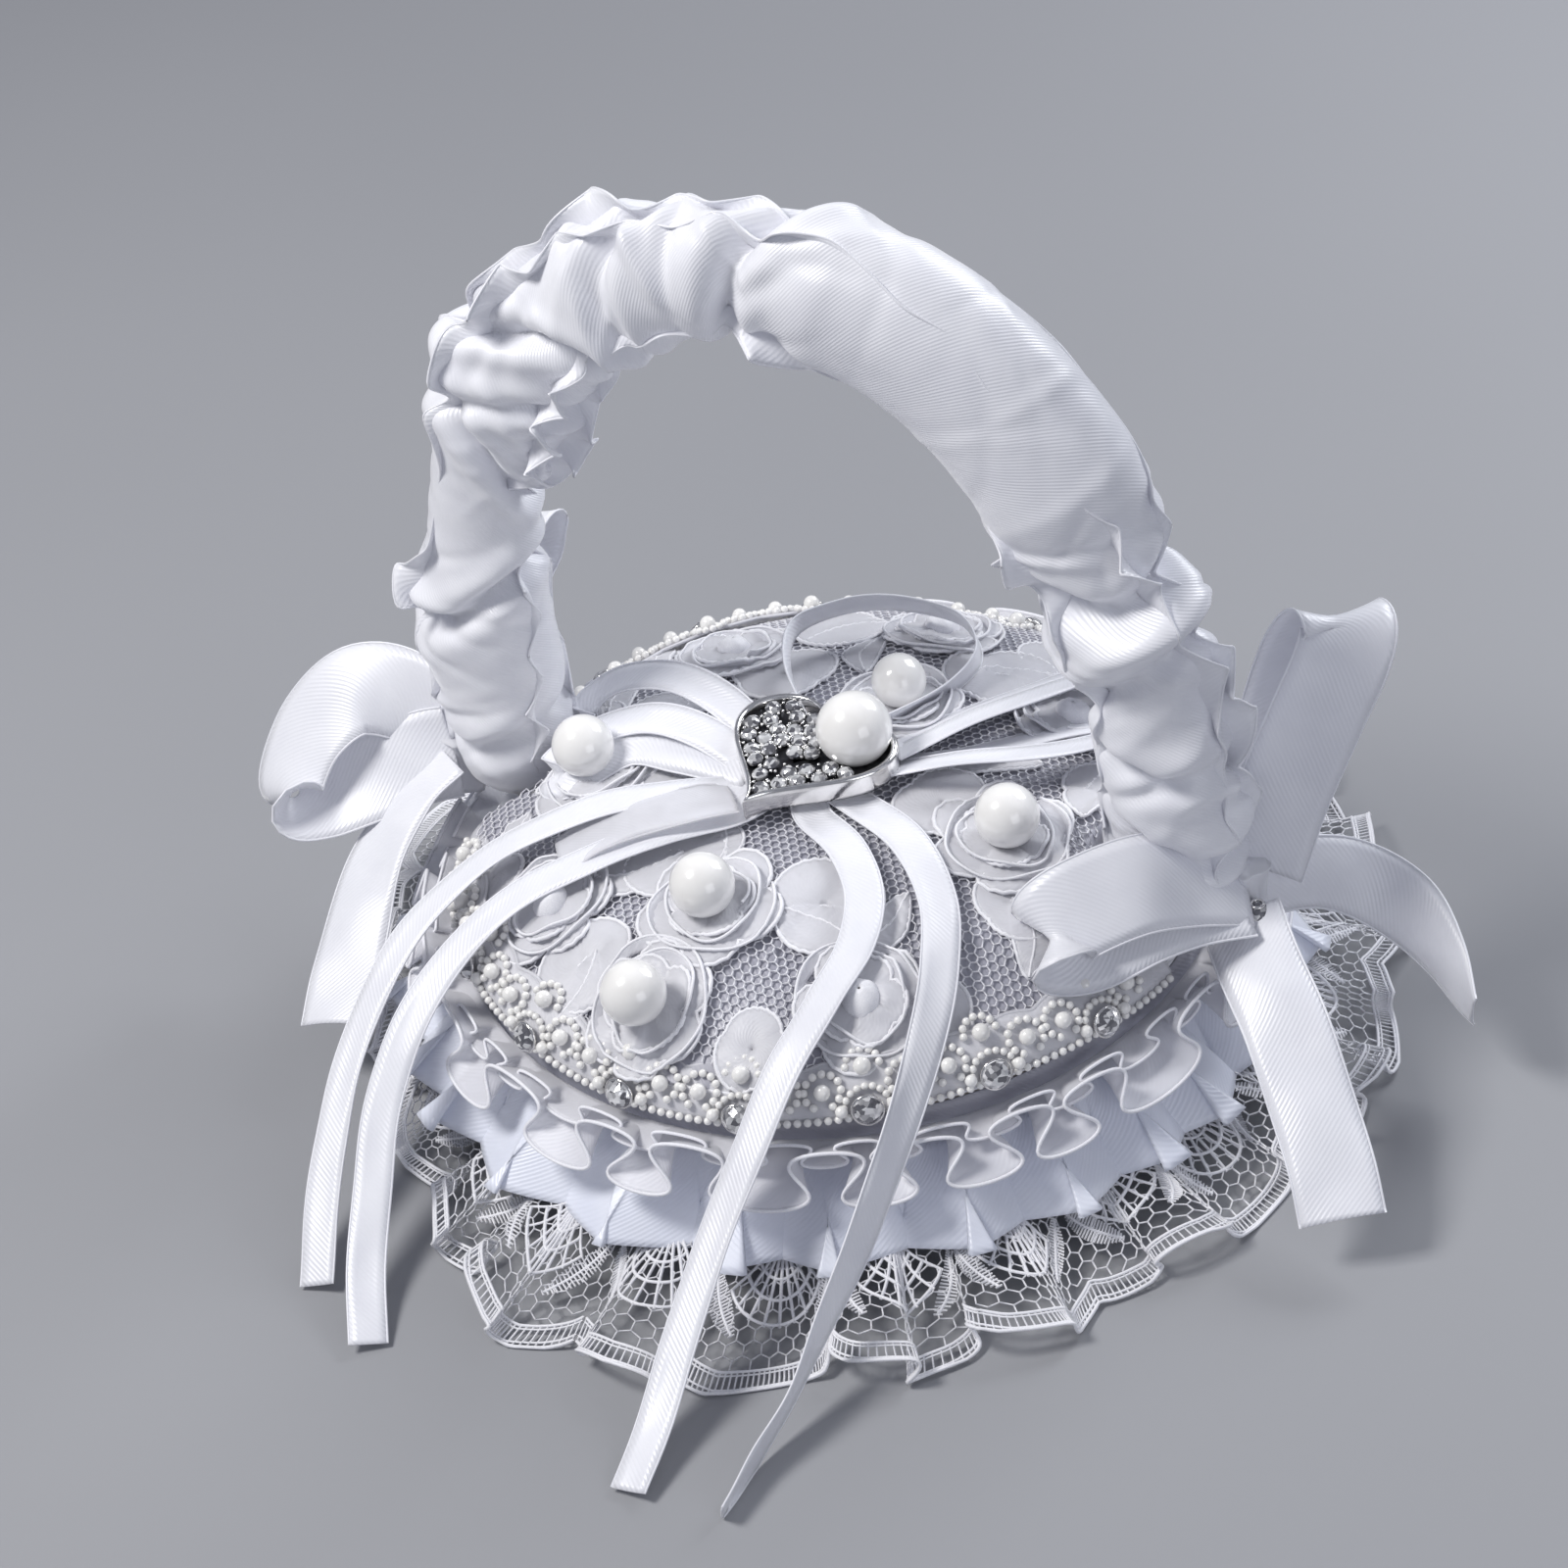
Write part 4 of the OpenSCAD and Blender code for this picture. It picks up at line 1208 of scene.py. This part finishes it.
def add_bud(build, x, y, size):
    """A small domed button of cloth in the middle of a flower."""
    phi = np.linspace(0, TURN, 30, endpoint=False)[:, None]
    share = np.linspace(0.05, 1, 8)[None]
    r = size * np.sin(share * math.pi / 2)
    top = 1.6 + 2.2 * np.cos(share * math.pi / 2) + 0.12 * np.sin(6 * phi) * share
    add_cloth(build, beside_legs(x + r * np.cos(phi), y + r * np.sin(phi), 0 * r + top), 0.3,
              closed=True)


# ---- lid: trim

def edge_place(angle, w):
    """A place on the lid's edge: w is the distance up and over the crown from its rim."""
    angle, w = np.broadcast_arrays(np.asarray(angle, float), np.asarray(w, float))
    wave = 1.1 * np.cos(4 * angle)
    r = TRIM_R - 0.2 - 0.55 * np.maximum(w, 0) - 0.022 * np.maximum(w, 0) ** 2
    z = LID_Z + 1.0 + 0.86 * w - 0.028 * np.maximum(w, 0) ** 2 - wave
    return np.stack([r * np.cos(angle), r * np.sin(angle), z], -1)


def edge_normal(angle, w):
    steep = np.clip(0.25 + 0.05 * w, 0, 1)
    return unit(np.stack([np.cos(angle), np.sin(angle), steep + 0 * angle], -1))


def clear_of_legs(angle, margin=0.24):
    off = np.abs((angle + math.pi / 2) % math.pi - math.pi / 2)
    return off > margin


MOTIFS = 20
EDGE_R = 58  # the edging's radius, to turn lengths along it into angles


def make_trim():
    centres = np.array([(k + 0.5) * TURN / MOTIFS for k in range(MOTIFS)])
    centres = centres[clear_of_legs(centres, 0.3)]

    band = Build()
    length = 0
    for start in (0.215, math.pi + 0.215):
        angle = np.linspace(start, start + math.pi - 0.43, 260)[:, None]
        w = np.linspace(-1.1, 6.4, 9)[None]
        scallops = 1.1 * np.abs(np.sin(angle * MOTIFS)) * (w > 5) * 1.0
        grid = edge_place(angle + 0 * w, w + scallops)
        width, half = add_cloth(band, grid, 0.3)
        length += half
        add_tubes(band, grid[:, 0], 0.3, 5)
        add_tubes(band, grid[:, -1], 0.3, 5)
    finish_sheet(band, "trim_tape", [ORGANZA], "lid", ["trim_band"], "organza",
                 (max(width, 10.0), length))

    large, seeds, stones = [], [], []
    for centre in centres:
        stones.append((centre, 0.3))
        for side in (-1, 1):
            middle = centre + side * 0.105
            large.append((middle, 3.6, 1.25))
            for a in np.radians(np.arange(-60, 241, 30)):
                seeds.append((middle + 2.7 * math.cos(a) / EDGE_R, 3.6 + 2.5 * math.sin(a), 0.62))
            large.append((centre + side * 0.062, 0.6, 0.95))
        for a in np.radians(np.arange(10, 171, 20)):
            seeds.append((centre + 3.3 * math.cos(a) / EDGE_R, 0.3 + 3.2 * math.sin(a), 0.58))
        large.append((centre, 6.6, 1.35))
        for a in np.radians(np.arange(0, 181, 30)):
            seeds.append((centre + 2.6 * math.cos(a) / EDGE_R, 6.6 + 2.4 * math.sin(a), 0.6))
    rim = np.arange(0, TURN, 1.45 / 59)
    for a in rim[clear_of_legs(rim, 0.22)]:
        seeds.append((a, -0.8, 0.6))

    def bead_piece(name, node, beads):
        build = Build()
        angle, w, r = np.array(beads).T
        places = edge_place(angle, w) + edge_normal(angle, w) * (0.25 + r[:, None] * 0.8)
        add_balls(build, places, r, sides=10)
        build.piece(name, [PEARL], "lid", [node], "pearl")

    bead_piece("trim_beads", "trim_pearls", large)
    bead_piece("trim_seeds", "trim_seed_pearls", seeds)
    build = Build()
    angle, w = np.array(stones).T
    normals = edge_normal(angle, w)
    places = edge_place(angle, w) + normals * 1.1
    add_stones(build, places, normals, 2.15)
    for place, normal in zip(places, normals):
        side = unit(np.cross(normal, [0, 0, 1.0]))
        above = np.cross(side, normal)
        ring = np.linspace(0, TURN, 24, endpoint=False)[:, None]
        add_tubes(build, place - normal * 0.1 + 2.2 * (side * np.cos(ring) + above * np.sin(ring)),
                  0.28, 6, closed=True, mat=1)
    build.piece("trim_stones", [CRYSTAL_PAINTED_GLINTS, SILVER], "lid", ["trim_rhinestones"], "crystal")


# ---- heart and narrow bow

POCKET = 0.785  # scale of the heart's pocket, inside its rim
STONE_R = 1.28
STONE_GAP = 2.62  # least distance between two stones


def heart_outline(size):
    a = np.linspace(0, TURN, 120, endpoint=False)
    x = 16 * np.sin(a) ** 3
    y = 13 * np.cos(a) - 5 * np.cos(2 * a) - 2 * np.cos(3 * a) - np.cos(4 * a)
    return size * np.stack([x, y], 1)


def to_heart(x, y, z):
    c, s = math.cos(HEART_TURN), math.sin(HEART_TURN)
    x, y = np.asarray(x, float), np.asarray(y, float)
    return np.stack([HEART[0] + c * x - s * y, HEART[1] + s * x + c * y, z + 0 * x], -1)


def make_heart():
    """A plated heart-shaped cup with a rounded rim, set with close rows of stones."""
    build = Build()
    low, top = HEART_Z, HEART_TOP
    loops = [(0.80, low + 0.05), (0.845, low + 0.3), (0.862, low + 1.0), (0.862, top - 0.6),
             (0.85, top - 0.15), (0.825, top), (0.80, top - 0.1), (0.79, top - 0.4),
             (POCKET, top - 1.5)]
    rings = [to_heart(*heart_outline(size).T, z) for size, z in loops]
    grid = np.stack(rings, 1)
    rows, columns = grid.shape[:2]
    start = build.add(grid, grid_faces(rows, columns, wrap_rows=True)[:, ::-1])
    build.add_faces(start, np.arange(rows) * columns)
    # The pocket's floor, in the second material, is near-black painted shade for the dark gaps between the
    # stones
    rim = heart_outline(POCKET)
    inner = np.stack([to_heart(*(rim * k).T, top - 1.5) for k in (1, 0.6, 0.2)], 1)
    build.add(inner, grid_faces(rows, 3, wrap_rows=True)[:, ::-1], mat=1)
    build.add_faces(start, np.arange(rows) * 3 + 2, mat=1)
    build.piece("heart_setting", [SILVER, POCKET_PAINTED_SHADE], "lid", ["heart_cup"], "silver")

    stones, beads = [], []
    outline = heart_outline(POCKET)
    turn = np.array([[math.cos(HEART_TURN), math.sin(HEART_TURN)],
                     [-math.sin(HEART_TURN), math.cos(HEART_TURN)]])
    pearl = turn @ (HEART_PEARL[:2] - HEART)
    spots = [(x, y) for x in np.arange(-13, 13.1, 0.35) for y in np.arange(-14, 10.1, 0.35)
             if inside_heart(x, y) and math.hypot(x - pearl[0], y - pearl[1]) > 5.9]
    depth = [np.linalg.norm(outline - spot, axis=1).min() for spot in spots]
    for gap, spot in sorted((round(d, 2), s) for d, s in zip(depth, spots)):
        if gap > 1.35 and all(math.dist(spot, other) > STONE_GAP for other in stones):
            stones.append(spot)
    for n, one in enumerate(stones):
        for other in stones[:n]:
            if math.dist(one, other) < 3.6:
                side = np.subtract(other, one)[::-1] * [1, -1] / math.dist(one, other)
                beads += [tuple(np.add(one, other) / 2 + side * k) for k in (-1.0, 1.0)]
    stones = np.array(stones)
    build = Build()
    places = to_heart(stones[:, 0], stones[:, 1], top - 0.75)
    tilt = np.array([(0.1 * math.sin(3 * n), 0.1 * math.cos(5 * n), 1) for n in range(len(places))])
    add_stones(build, places, tilt, STONE_R)
    beads = np.array([b for b in beads if inside_heart(*b) and min(
        math.dist(b, stone_at) for stone_at in stones) > 1.3])
    add_balls(build, to_heart(beads[:, 0], beads[:, 1], top - 0.75), [0.3] * len(beads), mat=1,
              sides=8)
    build.piece("heart_pave", [CRYSTAL_PAINTED_GLINTS, SILVER], "lid", ["heart_stones"], "crystal")


def inside_heart(x, y):
    """True inside the pocket's outline, counted by the sides a ray crosses."""
    p = heart_outline(POCKET)
    q = np.roll(p, -1, 0)
    cross = (p[:, 1] > y) != (q[:, 1] > y)
    with np.errstate(divide="ignore", invalid="ignore"):
        at = p[:, 0] + (y - p[:, 1]) * (q[:, 0] - p[:, 0]) / (q[:, 1] - p[:, 1])
    return bool((cross & (x < at)).sum() % 2)


NARROW_LOOPS = [
    [(-9, 0, 43), (-18, 5, 46), (-28, 8.5, 46.5), (-37, 9, 44.5), (-42, 6, 42), (-43, 1.5, 40.3),
     (-40, -1.5, 40.3), (-32, 0, 42), (-22, -1, 43), (-10, -3, 43)],
    [(-10, -4, 43), (-20, -1, 45), (-29, 0.5, 44.5), (-36.5, -1, 42.3), (-41, -5.5, 40),
     (-42, -10, 38.8), (-39, -11, 39.2), (-31, -4.5, 42), (-22, -5, 43), (-10, -6, 43)],
    [(9, 2, 43), (18, 9, 46), (26, 18, 46), (31, 27, 43.5), (33, 34, 40.5), (30, 36, 39),
     (25, 29, 40.5), (18, 18, 42.5), (8, 5, 43)],
    [(9, -1, 43), (19, 1, 45.5), (29, 6, 45), (36, 13, 42.5), (39, 20, 40), (36, 23, 39),
     (29, 17, 40.5), (19, 7, 42.5), (9, 1, 43)],
    [(-4, 6, 43), (-12, 15, 46), (-15, 25, 46.5), (-10, 33, 45.5), (-1, 36.5, 45),
     (8, 35, 44.5), (13, 29, 43.5), (11, 20, 43), (5, 10, 43), (0, 5, 43)],
]


def make_narrow_bow():
    build = Build()
    total = 0
    for n, route in enumerate(NARROW_LOOPS):
        path = np.array(route, float)
        middle = path.mean(0) - path[0]
        across = unit(np.cross(middle, [0, 0, 1.0]))
        # The last loop stands on its edge, and the others lie flat
        width_way = [0.15, -0.5, 0.85] if n == 4 else across + [0, 0, 0.35]
        sides = np.tile(width_way, (len(path), 1))
        grid = ribbon_grid(path, sides, NARROW_W, cup=0.3, ripple=0.25, columns=5)
        width, length = add_ribbon(build, grid, 0.2, 0.18)
        total += length
    finish_sheet(build, "narrow_loops", [WHITE_SATIN], "lid", ["ribbon_loops"], "ribbon_satin",
                 (5 * width, total / 5))

    low, high = corners("ribbon_knot")
    build = Build()
    phi = np.linspace(0, TURN, 40, endpoint=False)[:, None]
    curl = np.linspace(0, TURN, 10, endpoint=False)[None]
    middle = (low + high) / 2
    r = 2.4 + (0.9 + 0.15 * np.sin(7 * phi)) * np.cos(curl)
    build.add(np.stack([middle[0] + r * np.cos(phi), middle[1] + r * np.sin(phi),
                        middle[2] + 0.42 * np.sin(curl) + 0 * phi], -1),
              grid_faces(40, 10, True, True))
    build.piece("narrow_knot", [WHITE_SATIN], "lid", ["ribbon_knot"], "ribbon_satin")

    make_ribbon_piece(
        "sheer_tail", "organza_tail", "lid",
        [(-10, -12, 43.5), (-15, -15.5, 44), (-22, -18.5, 43), (-28, -22.5, 41),
         (-33, -26.5, 38.5)],
        [(0.45, -0.8, 0.3), (0.45, -0.85, 0.2), (0.5, -0.85, 0.1), (0.55, -0.8, 0.1),
         (0.55, -0.8, 0.1)], 10.5, held="laid", slot="organza", material=ORGANZA,
        cup=0.6, ripple=0.6)


# ---- the CAD nodes that stay

def dress_nodes():
    looks = {
        "base_board": CARD, "tub_wall": CARD, "lid_board": CARD, "lid_locating_ring": CARD,
        "handle_core": BAND, "handle_staples": STAPLE, "bow_pearl": PEARL, "lid_pearls": PEARL,
        "heart_pearl": PEARL,
    }
    for node, material in looks.items():
        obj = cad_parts[node]
        if not obj.data.materials:
            obj.data.materials.append(material)
        for slot in obj.material_slots:
            slot.material = material


def make_bow_crystal():
    """A round bead cut in flat facets, with a bright metal ring at each end."""
    build = Build()
    radius = (corners("bow_crystal")[1][2] - corners("bow_crystal")[0][2]) / 2
    polar = np.radians([8, 32, 60, 90, 120, 148, 172])
    verts, sides = [], 10
    for n, p in enumerate(polar):
        a = (np.arange(sides) + 0.5 * (n % 2)) * TURN / sides
        verts.append(np.stack([np.sin(p) * np.cos(a), np.sin(p) * np.sin(a),
                               np.cos(p) + 0 * a], 1))
    verts = np.concatenate(verts) * radius * 1.02 + CRYSTAL
    tris = []
    for n in range(len(polar) - 1):
        for k in range(sides):
            a, b = n * sides + k, n * sides + (k + 1) % sides
            shift = 0 if n % 2 == 0 else 1
            c = (n + 1) * sides + (k + shift) % sides
            d = (n + 1) * sides + (k + shift - 1) % sides
            tris += [(a, c, b), (a, d, c)]
    start = build.add(verts, np.array(tris), smooth=False)
    build.add_faces(start, [np.arange(sides), (np.arange(sides) + 6 * sides)[::-1]], smooth=False)
    ring = np.linspace(0, TURN, 24, endpoint=False)
    for end in (-1, 1):
        line = np.stack([CRYSTAL[0] + 0.9 * np.cos(ring), CRYSTAL[1] + 0.9 * np.sin(ring),
                         CRYSTAL[2] + end * radius * 0.95 + 0 * ring], 1)
        add_tubes(build, line, 0.25, 6, closed=True, mat=1)
    build.piece("faceted_bead", [CRYSTAL_PAINTED_GLINTS, SILVER], "basket", ["bow_crystal"], "crystal")


make_studio()
make_tub_cloth()
make_lace_skirt()
make_satin_ruffle()
make_organza_ruffle()
make_sleeve()
make_bows()
CROWN = Crown(make_cushion())
make_net()
make_flowers()
make_trim()
make_heart()
make_narrow_bow()
make_bow_crystal()
dress_nodes()
